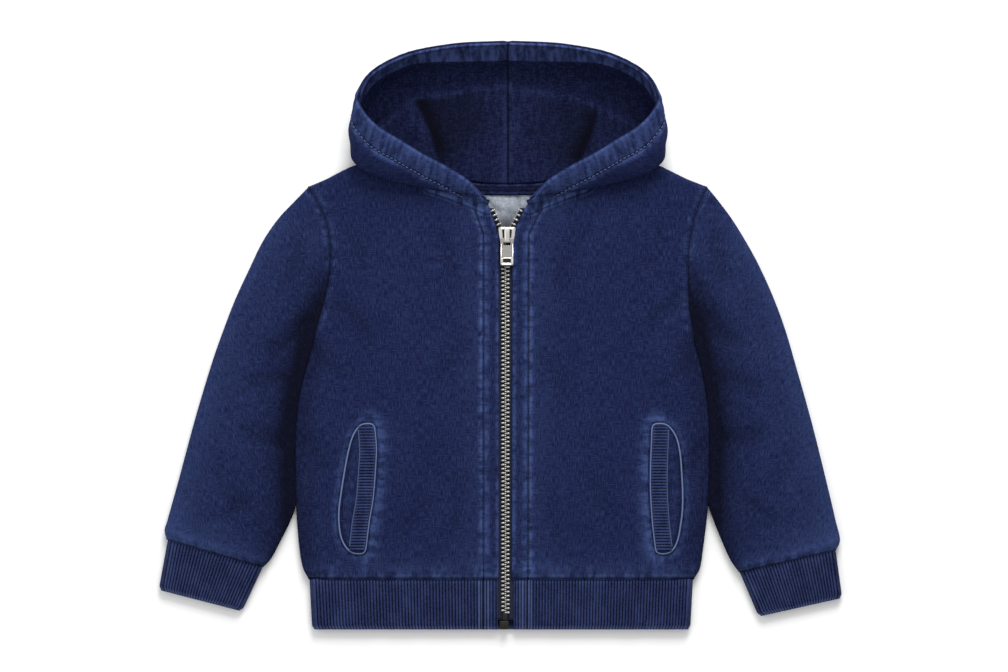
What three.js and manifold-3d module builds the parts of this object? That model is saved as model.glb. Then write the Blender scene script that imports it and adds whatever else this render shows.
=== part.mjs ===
// A toddler's zip hoodie in indigo fleece, laid flat on its back with the zip closed and the hood open.
// Millimetres. +X is to the right as seen from above, +Y runs towards the hood, +Z is up off the surface.
// The origin is on the surface, under the back, on the line of the zip.

import * as THREE from "three";
import Module from "manifold-3d";

const wasm = await Module();
wasm.setup();

// Cloth thicknesses
const FLEECE = 2.4;
const RIB_KNIT = 2.0;
const HOOD_FLEECE = 2.2;
const JERSEY = 1.8;
const TAPE_CLOTH = 1.0;
const RIB_HEIGHT = 0.6;

// How the layers lie
const LAID_HEIGHT = 8.6;
const SIDE_FOLD = LAID_HEIGHT / 2;
const SEAM_GAP = 0.3;
const EDGE_GAP = 0.5;
const ARMHOLE_GAP = 1.5;

// Heights along the garment
const HEM_SEAM_Y = -153;
const HEM_END_Y = -197;
const UNDERARM_Y = 50;
const FOLD_FADE = 14;

// Edges of the body as laid: the side seams below the underarm, the armholes above it
const BODY_EDGE = [
  { y: -153, left: 168.5, right: 162 },
  { y: -146, left: 173, right: 167 },
  { y: -129, left: 176.5, right: 170 },
  { y: -90, left: 179.5, right: 174.5 },
  { y: -50, left: 180.5, right: 175.5 },
  { y: -17, left: 179.5, right: 175.5 },
  { y: 9, left: 176, right: 172.5 },
  { y: 26, left: 171.5, right: 169 },
  { y: 50, left: 165.5, right: 163.5 },
  { y: 77, left: 157.5, right: 158.5 },
  { y: 105, left: 151.5, right: 157.5 },
  { y: 129, left: 150.5, right: 158 },
  { y: 154, left: 154.5, right: 162.5 },
  { y: 170, left: 161.5, right: 168 },
  { y: 183, left: 169.5, right: 174 },
];
const SHOULDER_TIP_Y = 183;

// Shoulder seams, from the tip of the shoulder in to the side of the neck
const SHOULDER = [
  { y: 183, left: 169.5, right: 174 },
  { y: 190, left: 153, right: 156 },
  { y: 197, left: 140, right: 142 },
  { y: 202, left: 129, right: 132 },
  { y: 208, left: 77.5, right: 82 },
];

// Necklines, from the side of the neck to the zip in front and to the nape behind
const FRONT_NECK = [
  { y: 186, left: 63, right: 68 },
  { y: 181, left: 47.5, right: 52.5 },
  { y: 174, left: 30, right: 35 },
  { y: 167.5, left: 15, right: 20.5 },
];
const BACK_NECK = [
  { y: 197.5, left: 69, right: 73.5 },
  { y: 189, left: 47.5, right: 52.5 },
  { y: 184.5, left: 21.5, right: 26.5 },
];
const NAPE = { x: 2.6, y: 184 };

// Front edges beside the zip, parted above the slider
const ZIP_EDGE = [
  { y: -153, left: 6.3, right: 7.5 },
  { y: 142, left: 6.3, right: 8.2 },
  { y: 167.5, left: 15, right: 20.5 },
];

// Sleeves: the outer fold from the shoulder tip, and the inner fold once it leaves the body
const SLEEVE_OUTER_FOLD = {
  left: [
    [-184.5, 167],
    [-193.5, 157.5],
    [-207.5, 137.5],
    [-220, 112],
    [-232, 86],
    [-242, 60],
    [-251, 34.5],
    [-266.5, -17],
    [-280.5, -69],
    [-290, -103],
    [-292.5, -112],
    [-290.8, -120],
  ],
  right: [
    [181.5, 173.5],
    [195, 155.5],
    [210, 131],
    [220, 112],
    [231.5, 86],
    [241, 60],
    [248.5, 34.5],
    [263, -17],
    [276, -69],
    [284, -103],
    [287.8, -121],
    [284.5, -129],
  ],
};
const SLEEVE_INNER_FOLD = {
  left: [
    [-184, -103],
    [-192.5, -120.5],
    [-201.5, -137],
    [-207.5, -143.5],
  ],
  right: [
    [179, -103],
    [186, -120.5],
    [194, -138],
    [201, -148],
  ],
};
const SLEEVE_LEAVES_BODY_Y = -88;

// Cuffs: the corners beside the sleeve, then the corners at the wrist
const CUFF_CORNERS = {
  left: { outer: [-290, -121], inner: [-208.5, -144.3], wristOuter: [-297.6, -163], wristInner: [-226, -181.5] },
  right: { outer: [284.3, -129.8], inner: [202, -148.7], wristOuter: [289.8, -170], wristInner: [218, -186] },
};
const CUFF_HEIGHT = 7.2;
const CUFF_RIBS = 28;
const CUFF_CORNER = 3.5;

// Hem rib
const BAND_HEIGHT = 8.2;
const BAND_EDGE = { left: 168, right: 161.5, taper: 2.3 };
const BAND_RIBS = 58;
const BAND_CORNER = 4;

// Hood, seen from its left half: a row for each section from the zip round to the centre seam.
// Each section runs from the neck seam out to the foot that rests, the belly, the roll and the rim.
const HOOD_SECTIONS = [
  { rest: 9.1, neck: [-14.3, 168, 9.1], foot: [-15, 167.8, 10.2], belly: [-15.8, 168.3, 12], roll: [-16.5, 169.5, 13.6], rim: [-17.2, 172, 14.8] },
  { rest: 9.1, neck: [-30, 174.5, 9.1], foot: [-31.5, 173, 10], belly: [-32.7, 173.7, 13.2], roll: [-32.3, 178, 16.6], rim: [-30, 187.5, 18] },
  { rest: 9.1, neck: [-47.3, 180.5, 9.1], foot: [-50, 178, 10.2], belly: [-51.5, 179, 14.8], roll: [-51.5, 186, 20], rim: [-49, 200, 21.5] },
  { rest: 9.1, neck: [-63, 186, 9.1], foot: [-69, 182.5, 10.4], belly: [-72.3, 182.8, 16.4], roll: [-72.3, 192, 24], rim: [-69.7, 211, 25.5] },
  { rest: 9.1, neck: [-72.5, 196, 9.1], foot: [-90, 188.5, 10.6], belly: [-96.5, 188.3, 18.5], roll: [-96.3, 199.5, 27.6], rim: [-90.3, 223.5, 28.8] },
  { rest: 9.1, neck: [-78, 206.5, 9.3], foot: [-107.5, 198, 10.6], belly: [-117.8, 194.8, 19.4], roll: [-116, 208, 30], rim: [-107.5, 234, 31.2] },
  { rest: 4.5, neck: [-82.5, 214, 5], foot: [-114.5, 213.5, 5.6], belly: [-131.3, 207, 17.5], roll: [-127.3, 220, 31], rim: [-119.5, 246, 32.6] },
  { rest: 0, neck: [-75, 206.5, 0], foot: [-110, 235.5, 0], belly: [-133, 232, 13], roll: [-131.2, 243.5, 28], rim: [-126.4, 259, 33] },
  { rest: 0, neck: [-61, 200, 0], foot: [-96, 257, 0], belly: [-114.5, 267.5, 10.5], roll: [-118.8, 274, 22], rim: [-118.2, 278.5, 32] },
  { rest: 0, neck: [-42.5, 191, 0], foot: [-66, 273.5, 0], belly: [-81.7, 288, 9.5], roll: [-87.7, 294, 20], rim: [-88.8, 296.3, 31] },
  { rest: 0, neck: [-21.5, 187, 0], foot: [-34.4, 278.6, 0], belly: [-41.3, 294, 9], roll: [-44.7, 301.8, 20], rim: [-46.4, 305.6, 30] },
  { rest: 0, neck: [2.4, 186, 0], foot: [2.4, 279.5, 0], belly: [2.4, 296.5, 9], roll: [2.4, 304.3, 19.5], rim: [2.4, 308.3, 29.5] },
];
const HOOD_CENTRE_X = 2.6;
const HOOD_ROWS = 17;
const HOOD_COLUMNS = 12;

// Pockets: the facing's two edges and the welt's centre line, down the front
const POCKETS = {
  left: {
    facing: [
      { y: -21, from: -124, to: -112.5 },
      { y: -30, from: -130, to: -110 },
      { y: -45, from: -134.3, to: -108.8 },
      { y: -65, from: -138, to: -109.5 },
      { y: -80, from: -140.3, to: -111.3 },
      { y: -96, from: -142.3, to: -113.8 },
      { y: -108, from: -142, to: -115.8 },
      { y: -120, from: -139.8, to: -117 },
      { y: -128, from: -135, to: -118 },
      { y: -131, from: -131, to: -120 },
    ],
    welt: [
      { y: -22.5, x: -119.4 },
      { y: -41, x: -117.8 },
      { y: -60, x: -118.7 },
      { y: -86, x: -120.8 },
      { y: -103, x: -123.8 },
      { y: -129, x: -127 },
    ],
  },
  right: {
    facing: [
      { y: -21, from: 128.5, to: 139 },
      { y: -30, from: 125.5, to: 146 },
      { y: -45, from: 123.4, to: 149.8 },
      { y: -65, from: 123, to: 151.4 },
      { y: -80, from: 123.2, to: 152.1 },
      { y: -96, from: 124.2, to: 151.8 },
      { y: -108, from: 125.6, to: 150.2 },
      { y: -120, from: 127, to: 148 },
      { y: -128, from: 129, to: 144.5 },
      { y: -131, from: 131, to: 141 },
    ],
    welt: [
      { y: -22.5, x: 133.7 },
      { y: -56, x: 132.4 },
      { y: -77, x: 132.3 },
      { y: -105, x: 134 },
      { y: -129, x: 136.8 },
    ],
  },
};
const WELT_WIDTH = 13;
const WELT_RIBS = 42;
const WELT_CLOTH = 1.2;
const WELT_RIB_HEIGHT = 0.4;

// Neck tape
const NECK_TAPE_REACH = 52;
const NECK_TAPE_WIDTH = 8;

// Zip
const TAPE_TOP_Z = 5.8;
const TAPE_EDGE = [
  { y: -189, left: 0.3, right: 0.3 },
  { y: 137, left: 0.3, right: 0.3 },
  { y: 143, left: 2.2, right: 4.2 },
  { y: 150, left: 3.6, right: 5.8 },
  { y: 165, left: 10, right: 13 },
];
const TAPE_WIDTH = 13;
const CHAIN = { halfWidth: 4.1, bottomZ: 6.1, topZ: 8.4, fromY: -188.8, toY: 138.4 };
const TEETH_ROW = { width: 3, fromY: 150.2, toY: 163.4 };
const BOX = { left: -4.8, right: 3.6, fromY: -197.2, toY: -189.4, bottomZ: 4.8, topZ: 8.9 };

// Slider and pull tab
const SLIDER_X = 1.7;
const SLIDER = { topY: 148.8, bottomY: 135.2, topWidth: 15.4, bottomWidth: 11.4, upperZ: 8.8, plate: 1.2, lowerZ: 3.3 };
const POST = { halfWidth: 1.4, fromY: 142.8, toY: 147.4 };
const BAIL = { halfWidth: 2.1, frontY: 135.5, backY: 147.6, foot: 1.2, hollowZ: 12.9, topZ: 14.1 };
const HINGE = { y: 138.2, z: 11.5 };
const TAB = { halfWidth: 5.7, endY: 115.6, thickness: 1.6, eyeHalfWidth: 3.1, eyeEndY: 132.8, corner: 1.6 };

// Colours
const INDIGO = 0x1f2a52;
const INDIGO_RIB = 0x1e2546;
const INDIGO_LINING = 0x191d3c;
const NAVY_TAPE = 0x151a30;
const NICKEL = 0xb9b6b1;

const sideSign = { left: -1, right: 1 };

// Value between two others
function mix(a, b, t) {
  return a + (b - a) * t;
}

// Smooth step from 0 to 1 between two values
function ramp(from, to, value) {
  const t = Math.min(1, Math.max(0, (value - from) / (to - from)));
  return t * t * (3 - 2 * t);
}

// Smooth reading of a table's column at a place along another column
function readSmooth(rows, along, column, at) {
  const ordered = rows[0][along] <= rows[rows.length - 1][along] ? rows : [...rows].reverse();
  const last = ordered.length - 1;
  const i = Math.min(last - 1, Math.max(0, ordered.findIndex((row) => row[along] > at) - 1));
  const k = at >= ordered[last][along] ? last - 1 : i;
  const slope = (a, b) => (ordered[b][column] - ordered[a][column]) / (ordered[b][along] - ordered[a][along]);
  const span = ordered[k + 1][along] - ordered[k][along];
  const t = Math.min(1, Math.max(0, (at - ordered[k][along]) / span));
  const startSlope = slope(Math.max(0, k - 1), k + 1) * span;
  const endSlope = slope(k, Math.min(last, k + 2)) * span;
  const t2 = t * t;
  const t3 = t2 * t;
  return (
    (2 * t3 - 3 * t2 + 1) * ordered[k][column] +
    (t3 - 2 * t2 + t) * startSlope +
    (3 * t2 - 2 * t3) * ordered[k + 1][column] +
    (t3 - t2) * endSlope
  );
}

// Straight reading of points [x, y] ordered by x
function readStraight(points, x) {
  const i = Math.min(points.length - 2, Math.max(0, points.findIndex((p) => p[0] > x) - 1));
  const k = x >= points[points.length - 1][0] ? points.length - 2 : i;
  const t = (x - points[k][0]) / (points[k + 1][0] - points[k][0]);
  return mix(points[k][1], points[k + 1][1], Math.min(1, Math.max(0, t)));
}

// Smooth route through points, read by its share of the length
function route(points) {
  return new THREE.CatmullRomCurve3(
    points.map((p) => new THREE.Vector3(p[0], p[1], p[2] || 0)),
    false,
    "centripetal",
  );
}

// Evenly spaced shares from 0 to 1
function shares(count) {
  return Array.from({ length: count + 1 }, (_, i) => i / count);
}

// Grid of points moved towards the inside along its own normals
function inset(grid, distance, inside, closed) {
  const rows = grid.length;
  const columns = grid[0].length;
  const centre = new THREE.Vector3(...inside);
  const at = (i, j) => new THREE.Vector3(...grid[i][j]);
  const normals = grid.map((row, i) =>
    row.map((_, j) => {
      const along = at(Math.min(rows - 1, i + 1), j).sub(at(Math.max(0, i - 1), j));
      const next = closed ? (j + 1) % columns : Math.min(columns - 1, j + 1);
      const previous = closed ? (j + columns - 1) % columns : Math.max(0, j - 1);
      const across = at(i, next).sub(at(i, previous));
      return along.cross(across).normalize();
    }),
  );
  let agreement = 0;
  normals.forEach((row, i) =>
    row.forEach((normal, j) => {
      agreement += normal.dot(centre.clone().sub(at(i, j)).normalize());
    }),
  );
  const sense = Math.sign(agreement) * distance;
  return normals.map((row, i) =>
    row.map((normal, j) => at(i, j).addScaledVector(normal, sense).toArray()),
  );
}

// Grid kept between two heights
function kept(grid, lowest, highest) {
  return grid.map((row) => row.map((point) => [point[0], point[1], Math.min(highest, Math.max(lowest, point[2]))]));
}

// Closed wall between an outer and an inner grid of the same size
function wall(outer, inner, closed) {
  const rows = outer.length;
  const columns = outer[0].length;
  const positions = [...outer.flat(), ...inner.flat()].flat();
  const index = [];
  const out = (i, j) => i * columns + (j % columns);
  const inn = (i, j) => rows * columns + out(i, j);
  const quad = (a, b, c, d) => index.push(a, b, c, a, c, d);
  const steps = closed ? columns : columns - 1;
  for (let i = 0; i < rows - 1; i += 1) {
    for (let j = 0; j < steps; j += 1) {
      quad(out(i, j), out(i, j + 1), out(i + 1, j + 1), out(i + 1, j));
      quad(inn(i, j), inn(i + 1, j), inn(i + 1, j + 1), inn(i, j + 1));
    }
  }
  for (let j = 0; j < steps; j += 1) {
    quad(out(0, j + 1), out(0, j), inn(0, j), inn(0, j + 1));
    quad(out(rows - 1, j), out(rows - 1, j + 1), inn(rows - 1, j + 1), inn(rows - 1, j));
  }
  if (!closed) {
    for (let i = 0; i < rows - 1; i += 1) {
      quad(out(i, 0), out(i + 1, 0), inn(i + 1, 0), inn(i, 0));
      quad(out(i + 1, columns - 1), out(i, columns - 1), inn(i, columns - 1), inn(i + 1, columns - 1));
    }
  }
  return facingOut(positions, index);
}

// Geometry with its faces turned outwards
function facingOut(positions, index) {
  const p = (k) => new THREE.Vector3(positions[3 * k], positions[3 * k + 1], positions[3 * k + 2]);
  let volume = 0;
  for (let i = 0; i < index.length; i += 3) {
    volume += p(index[i]).dot(p(index[i + 1]).cross(p(index[i + 2])));
  }
  if (volume < 0) {
    for (let i = 0; i < index.length; i += 3) {
      [index[i + 1], index[i + 2]] = [index[i + 2], index[i + 1]];
    }
  }
  const geometry = new THREE.BufferGeometry();
  geometry.setAttribute("position", new THREE.Float32BufferAttribute(positions, 3));
  geometry.setIndex(index);
  return geometry;
}

// Where the edge of the body lies at a height
function bodyEdge(side, y) {
  return sideSign[side] * readSmooth(BODY_EDGE, "y", side, y);
}

// Points [x, y] of a table's column, signed for its side
function signedPoints(rows, side) {
  return rows.map((row) => [sideSign[side] * row[side], row.y]);
}

// Top outline of a front, from the shoulder tip to the zip
function frontTop(side) {
  const points = [...signedPoints(SHOULDER, side), ...signedPoints(FRONT_NECK, side)];
  return side === "left" ? points : points.reverse();
}

// Top outline of the back, from the left shoulder tip to the right one
function backTop() {
  const left = [...signedPoints(SHOULDER, "left"), ...signedPoints(BACK_NECK, "left")];
  const right = [...signedPoints(SHOULDER, "right"), ...signedPoints(BACK_NECK, "right")];
  return [...left, [NAPE.x, NAPE.y], ...right.reverse()];
}

// Shares along a row that set more points in the fold at its start
function foldShares(width, count, stops) {
  const fold = [0, 0.13, 0.5, 1].map((part) => (part * SIDE_FOLD) / width);
  const even = shares(count)
    .slice(1)
    .map((share) => mix(fold[3], 1, share));
  const all = [...fold, ...even];
  stops.forEach((stop) => {
    const nearest = all.reduce((best, share, k) => (Math.abs(share - stop) < Math.abs(all[best] - stop) ? k : best), 4);
    all[nearest] = stop;
  });
  return all;
}

// Rows up the body, closer together at the shoulder
function bodyRows() {
  const height = SHOULDER_TIP_Y - HEM_SEAM_Y;
  const even = shares(13).map((share) => share * (1 - SIDE_FOLD / height));
  return [...even, 1 - (0.5 * SIDE_FOLD) / height, 1 - (0.13 * SIDE_FOLD) / height, 1];
}

// Half-round height over the middle of the side folds: 1 on the flat, 0 at a folded edge
function foldRise(y, sideDistance, topDistance, shoulder) {
  const sideShare = (1 - ramp(UNDERARM_Y, UNDERARM_Y + FOLD_FADE, y)) * Math.max(0, 1 - sideDistance / SIDE_FOLD);
  const topShare = shoulder * Math.max(0, 1 - topDistance / SIDE_FOLD);
  return Math.sqrt(Math.max(0, 1 - sideShare * sideShare - topShare * topShare));
}

// How much of the shoulder fold is left at a place across the shoulder and neck
function shoulderShare(side, x) {
  const neck = SHOULDER[SHOULDER.length - 1][side];
  return ramp(neck - 16, neck - 2, sideSign[side] * x);
}

// How far the top outline bends each row of a panel
function topBend(share) {
  return ramp(0.5, 1, share) ** 2;
}

// Outer points of a front
function frontGrid(side) {
  const top = frontTop(side);
  const tip = side === "left" ? top[0] : top[top.length - 1];
  const neck = side === "left" ? top[top.length - 1] : top[0];
  const neckShare = (SHOULDER[0][side] - SHOULDER[4][side]) / (SHOULDER[0][side] - FRONT_NECK[3][side]);
  const height = SHOULDER_TIP_Y - HEM_SEAM_Y;
  const columns = foldShares(Math.abs(tip[0] - neck[0]), 8, [neckShare]);
  return bodyRows().map((rowShare) => {
    const sideY = mix(HEM_SEAM_Y, SHOULDER_TIP_Y, rowShare);
    const sideX = bodyEdge(side, sideY);
    const zipY = mix(HEM_SEAM_Y, neck[1], rowShare);
    const zipX = sideSign[side] * readStraight(ZIP_EDGE.map((row) => [row.y, row[side]]), zipY);
    return columns.map((share) => {
      const topX = mix(tip[0], neck[0], share);
      const bend = topBend(rowShare) * (readStraight(top, topX) - mix(tip[1], neck[1], share));
      const x = mix(sideX, zipX, share);
      const y = mix(sideY, zipY, share) + bend;
      const rise = foldRise(sideY, Math.abs(x - sideX), (1 - rowShare) * height, shoulderShare(side, topX));
      return [x, y, SIDE_FOLD + mix(SEAM_GAP / 2, SIDE_FOLD, rise)];
    });
  });
}

// Outer points of the back: its underside
function backGrid() {
  const top = backTop();
  const tips = { left: top[0], right: top[top.length - 1] };
  const height = SHOULDER_TIP_Y - HEM_SEAM_Y;
  const width = tips.right[0] - tips.left[0];
  const shareAt = (x) => (x - tips.left[0]) / width;
  const half = foldShares(width / 2, 7, [2 * shareAt(-SHOULDER[4].left)]);
  const columns = [...half.map((share) => share / 2), ...half.slice(0, -1).reverse().map((share) => 1 - share / 2)];
  return bodyRows().map((rowShare) => {
    const y = mix(HEM_SEAM_Y, SHOULDER_TIP_Y, rowShare);
    const leftX = bodyEdge("left", y);
    const rightX = bodyEdge("right", y);
    return columns.map((share) => {
      const topX = mix(tips.left[0], tips.right[0], share);
      const bend = topBend(rowShare) * (readStraight(top, topX) - mix(tips.left[1], tips.right[1], share));
      const x = mix(leftX, rightX, share);
      const shoulder = Math.max(shoulderShare("left", topX), shoulderShare("right", topX));
      const rise = foldRise(y, Math.min(x - leftX, rightX - x), (1 - rowShare) * height, shoulder);
      return [x, y + bend, SIDE_FOLD - mix(SEAM_GAP / 2, SIDE_FOLD, rise)];
    });
  });
}

// Places round a laid tube: outer fold, top, inner fold, underside
function tubeStops(topCount, bottomCount) {
  const angles = [0, Math.PI / 6, Math.PI / 3];
  const top = shares(topCount).map((share) => ({ span: share, level: 1 }));
  const bottom = shares(bottomCount).map((share) => ({ span: 1 - share, level: -1 }));
  return [
    ...angles.map((angle) => ({ span: 0, fold: 1 - Math.cos(angle), level: Math.sin(angle) })),
    ...top,
    ...[...angles].reverse().map((angle) => ({ span: 1, fold: 1 - Math.cos(angle), level: Math.sin(angle) })),
    ...angles.slice(1).map((angle) => ({ span: 1, fold: 1 - Math.cos(angle), level: -Math.sin(angle) })),
    ...bottom,
    ...[...angles].reverse().slice(0, 2).map((angle) => ({ span: 0, fold: 1 - Math.cos(angle), level: -Math.sin(angle) })),
  ];
}

// Share of the width at which a stop stands, for a tube of a given width and fold
function stopShare(stop, width, fold) {
  if (stop.fold === undefined) {
    return (fold + stop.span * (width - 2 * fold)) / width;
  }
  return stop.span === 0 ? (stop.fold * fold) / width : 1 - (stop.fold * fold) / width;
}

// Outer points of a sleeve
// Rings of points down a sleeve, as shares of its length, and how far its bent top edge is felt.
const SLEEVE_RING_SHARES = [0, 0.03, 0.08, 0.16, 0.26, 0.37, 0.48, 0.59, 0.7, 0.8, 0.89, 0.96, 1];
const SEAM_BEND_REACH = 0.3;

function sleeveGrid(side) {
  const sign = sideSign[side];
  const seam = (y) => bodyEdge(side, y) + sign * ARMHOLE_GAP;
  const beside = [26, 0, -30, -60, SLEEVE_LEAVES_BODY_Y].map((y) => [seam(y), y]);
  const tip = [seam(SHOULDER_TIP_Y), SHOULDER_TIP_Y];
  const underarm = [seam(UNDERARM_Y), UNDERARM_Y];
  const outer = route([tip, ...SLEEVE_OUTER_FOLD[side]]);
  const inner = route([underarm, ...beside, ...SLEEVE_INNER_FOLD[side]]);
  const stops = tubeStops(7, 5);
  return SLEEVE_RING_SHARES.map((share) => {
    const from = outer.getPointAt(share);
    const to = inner.getPointAt(share);
    const width = from.distanceTo(to);
    const seamBend = Math.max(0, 1 - share / SEAM_BEND_REACH) ** 2;
    const height = LAID_HEIGHT * (1 - 0.1 * ramp(0.97, 1, share));
    return stops.map((stop) => {
      const across = stopShare(stop, width, SIDE_FOLD);
      const seamY = mix(SHOULDER_TIP_Y, UNDERARM_Y, across);
      const x = mix(from.x, to.x, across) + seamBend * (seam(seamY) - mix(tip[0], underarm[0], across));
      const y = mix(from.y, to.y, across);
      return [x, y, (height / 2) * (1 + stop.level)];
    });
  });
}

// Outer points of a cuff, with or without its ribs
function cuffGrid(side, ribbed) {
  const corners = CUFF_CORNERS[side];
  const stops = tubeStops(2 * CUFF_RIBS, 5);
  const rows = [
    { along: 0, corner: 0, height: CUFF_HEIGHT },
    { along: 0.86, corner: 0, height: CUFF_HEIGHT },
    { along: 1, corner: CUFF_CORNER, height: CUFF_HEIGHT - 1 },
  ];
  return rows.map((row) => {
    const from = new THREE.Vector2(...corners.outer).lerp(new THREE.Vector2(...corners.wristOuter), row.along);
    const to = new THREE.Vector2(...corners.inner).lerp(new THREE.Vector2(...corners.wristInner), row.along);
    const full = from.distanceTo(to);
    const start = from.clone().lerp(to, row.corner / full);
    const end = to.clone().lerp(from, row.corner / full);
    const width = start.distanceTo(end);
    return stops.map((stop, k) => {
      const place = start.clone().lerp(end, stopShare(stop, width, CUFF_HEIGHT / 2));
      const onTop = stop.fold === undefined && stop.level === 1;
      const valley = ribbed && onTop && k % 2 === 1 ? RIB_HEIGHT : 0;
      return [place.x, place.y, (row.height / 2) * (1 + stop.level) - valley];
    });
  });
}

// Outer points of the hem rib: from the zip round the left fold, the underside and the right fold to the zip
function bandGrid(ribbed) {
  const angles = [Math.PI / 2, Math.PI / 3, Math.PI / 6, 0, -Math.PI / 6, -Math.PI / 3, -Math.PI / 2];
  const rows = [
    { y: HEM_SEAM_Y - EDGE_GAP, corner: 0, height: BAND_HEIGHT },
    { y: HEM_END_Y + 6, corner: 0, height: BAND_HEIGHT },
    { y: HEM_END_Y, corner: BAND_CORNER, height: BAND_HEIGHT - 1 },
  ];
  return rows.map((row) => {
    const down = (HEM_SEAM_Y - row.y) / (HEM_SEAM_Y - HEM_END_Y);
    const fold = BAND_HEIGHT / 2;
    const edge = (side) => BAND_EDGE[side] - BAND_EDGE.taper * down - row.corner;
    const frontHalf = (side) => {
      const zip = ZIP_EDGE[0][side];
      return shares(2 * BAND_RIBS).map((share, k) => {
        const valley = ribbed && k % 2 === 0 ? RIB_HEIGHT : 0;
        return [sideSign[side] * mix(zip, edge(side) - fold, share), row.y, row.height - valley];
      });
    };
    const turn = (side) =>
      angles.slice(1).map((angle) => [
        sideSign[side] * (edge(side) - fold + fold * Math.cos(angle)),
        row.y,
        (row.height / 2) * (1 + Math.sin(angle)),
      ]);
    const under = shares(8).map((share) => [mix(-edge("left") + fold, edge("right") - fold, share), row.y, 0]);
    const rightTurn = turn("right").reverse();
    return [...frontHalf("left"), ...turn("left"), ...under.slice(1, -1), ...rightTurn, ...frontHalf("right").reverse()];
  });
}

// Outer points of the left half of the hood, with one row past the centre seam
function hoodGrid() {
  const names = ["neck", "foot", "belly", "roll", "rim"];
  const sections = HOOD_SECTIONS.map((section) => route(names.map((name) => section[name])));
  const across = shares(HOOD_COLUMNS - 1);
  const lines = across.map((share) => route(sections.map((section) => section.getPointAt(share).toArray())));
  const rests = HOOD_SECTIONS.map((section, k) => [k / (HOOD_SECTIONS.length - 1), section.rest]);
  const rows = shares(HOOD_ROWS - 1).map((share) =>
    lines.map((line) => {
      const point = line.getPoint(share);
      const centred = share === 1 ? HOOD_CENTRE_X - SEAM_GAP / 2 : Math.min(point.x, HOOD_CENTRE_X - SEAM_GAP / 2);
      return [centred, point.y, Math.max(point.z, readStraight(rests, share))];
    }),
  );
  const beyond = rows[rows.length - 2].map((point) => [2 * HOOD_CENTRE_X - SEAM_GAP - point[0], point[1], point[2]]);
  return [...rows, beyond];
}

// Points mirrored across the centre seam of the hood
function mirrored(grid) {
  return grid.map((row) => row.map((point) => [2 * HOOD_CENTRE_X - point[0], point[1], point[2]]));
}

// Strip between two edges, each a function of the share along it
function strip(fromEdge, toEdge, alongCount, acrossCount, z) {
  return shares(alongCount).map((along) => {
    const from = fromEdge(along);
    const to = toEdge(along);
    return shares(acrossCount).map((across) => [mix(from[0], to[0], across), mix(from[1], to[1], across), z]);
  });
}

// Grid at another height
function raised(grid, rise) {
  return grid.map((row) => row.map((point) => [point[0], point[1], point[2] + rise]));
}

// Pocket facing: a lens of cloth on the front
function facingGeometry(side) {
  const table = POCKETS[side].facing;
  const top = table[0].y;
  const end = table[table.length - 1].y;
  const edge = (column) => (along) => {
    const y = mix(top, end, along);
    return [readSmooth(table, "y", column, y), y];
  };
  const under = strip(edge("from"), edge("to"), 12, 2, LAID_HEIGHT + SEAM_GAP);
  return wall(raised(under, TAPE_CLOTH), under, false);
}

// Pocket welt: a ribbed strip on the facing
function weltGeometry(side) {
  const table = POCKETS[side].welt;
  const top = table[0].y;
  const end = table[table.length - 1].y;
  const edge = (shift) => (along) => {
    const y = mix(top, end, along);
    return [readSmooth(table, "y", "x", y) + shift, y];
  };
  const base = LAID_HEIGHT + 2 * SEAM_GAP + TAPE_CLOTH;
  const under = strip(edge(-WELT_WIDTH / 2), edge(WELT_WIDTH / 2), 2 * WELT_RIBS, 1, base);
  const outer = under.map((row, k) =>
    row.map((point) => [point[0], point[1], point[2] + WELT_CLOTH + (k % 2 === 1 ? WELT_RIB_HEIGHT : 0)]),
  );
  return wall(outer, under, false);
}

// Neck tape on the inside of the back, just below the back neck seam
function neckTapeGeometry() {
  const top = backTop();
  const edge = (drop) => (along) => {
    const x = NAPE.x + mix(-NECK_TAPE_REACH, NECK_TAPE_REACH, along);
    return [x, readStraight(top, x) - drop];
  };
  const under = strip(edge(SEAM_GAP + NECK_TAPE_WIDTH), edge(SEAM_GAP), 12, 1, FLEECE + SEAM_GAP);
  return wall(raised(under, TAPE_CLOTH), under, false);
}

// Zip tape behind one front edge
function zipTapeGeometry(side) {
  const sign = sideSign[side];
  const points = TAPE_EDGE.map((row) => [row.y, row[side]]);
  const start = TAPE_EDGE[0].y;
  const end = TAPE_EDGE[TAPE_EDGE.length - 1].y;
  const heights = TAPE_EDGE.map((row) => (row.y - start) / (end - start));
  const grid = heights.map((share) => {
    const y = mix(start, end, share);
    const inner = readStraight(points, y);
    return [inner, inner + TAPE_WIDTH].map((x) => [sign * x, y, TAPE_TOP_Z]);
  });
  return wall(grid, raised(grid, -TAPE_CLOTH), false);
}

// Parted row of teeth above the slider, on the edge of one tape
function teethRowGeometry(side) {
  const sign = sideSign[side];
  const points = TAPE_EDGE.map((row) => [row.y, row[side]]);
  const grid = shares(3).map((share) => {
    const y = mix(TEETH_ROW.fromY, TEETH_ROW.toY, share);
    const inner = readStraight(points, y) + SEAM_GAP;
    return [inner, inner + TEETH_ROW.width].map((x) => [sign * x, y, CHAIN.topZ]);
  });
  return wall(grid, raised(grid, CHAIN.bottomZ - CHAIN.topZ), false);
}

// Block between two corners
function block(from, to) {
  const geometry = new THREE.BoxGeometry(to[0] - from[0], to[1] - from[1], to[2] - from[2]);
  return geometry.translate((from[0] + to[0]) / 2, (from[1] + to[1]) / 2, (from[2] + to[2]) / 2);
}

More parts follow.
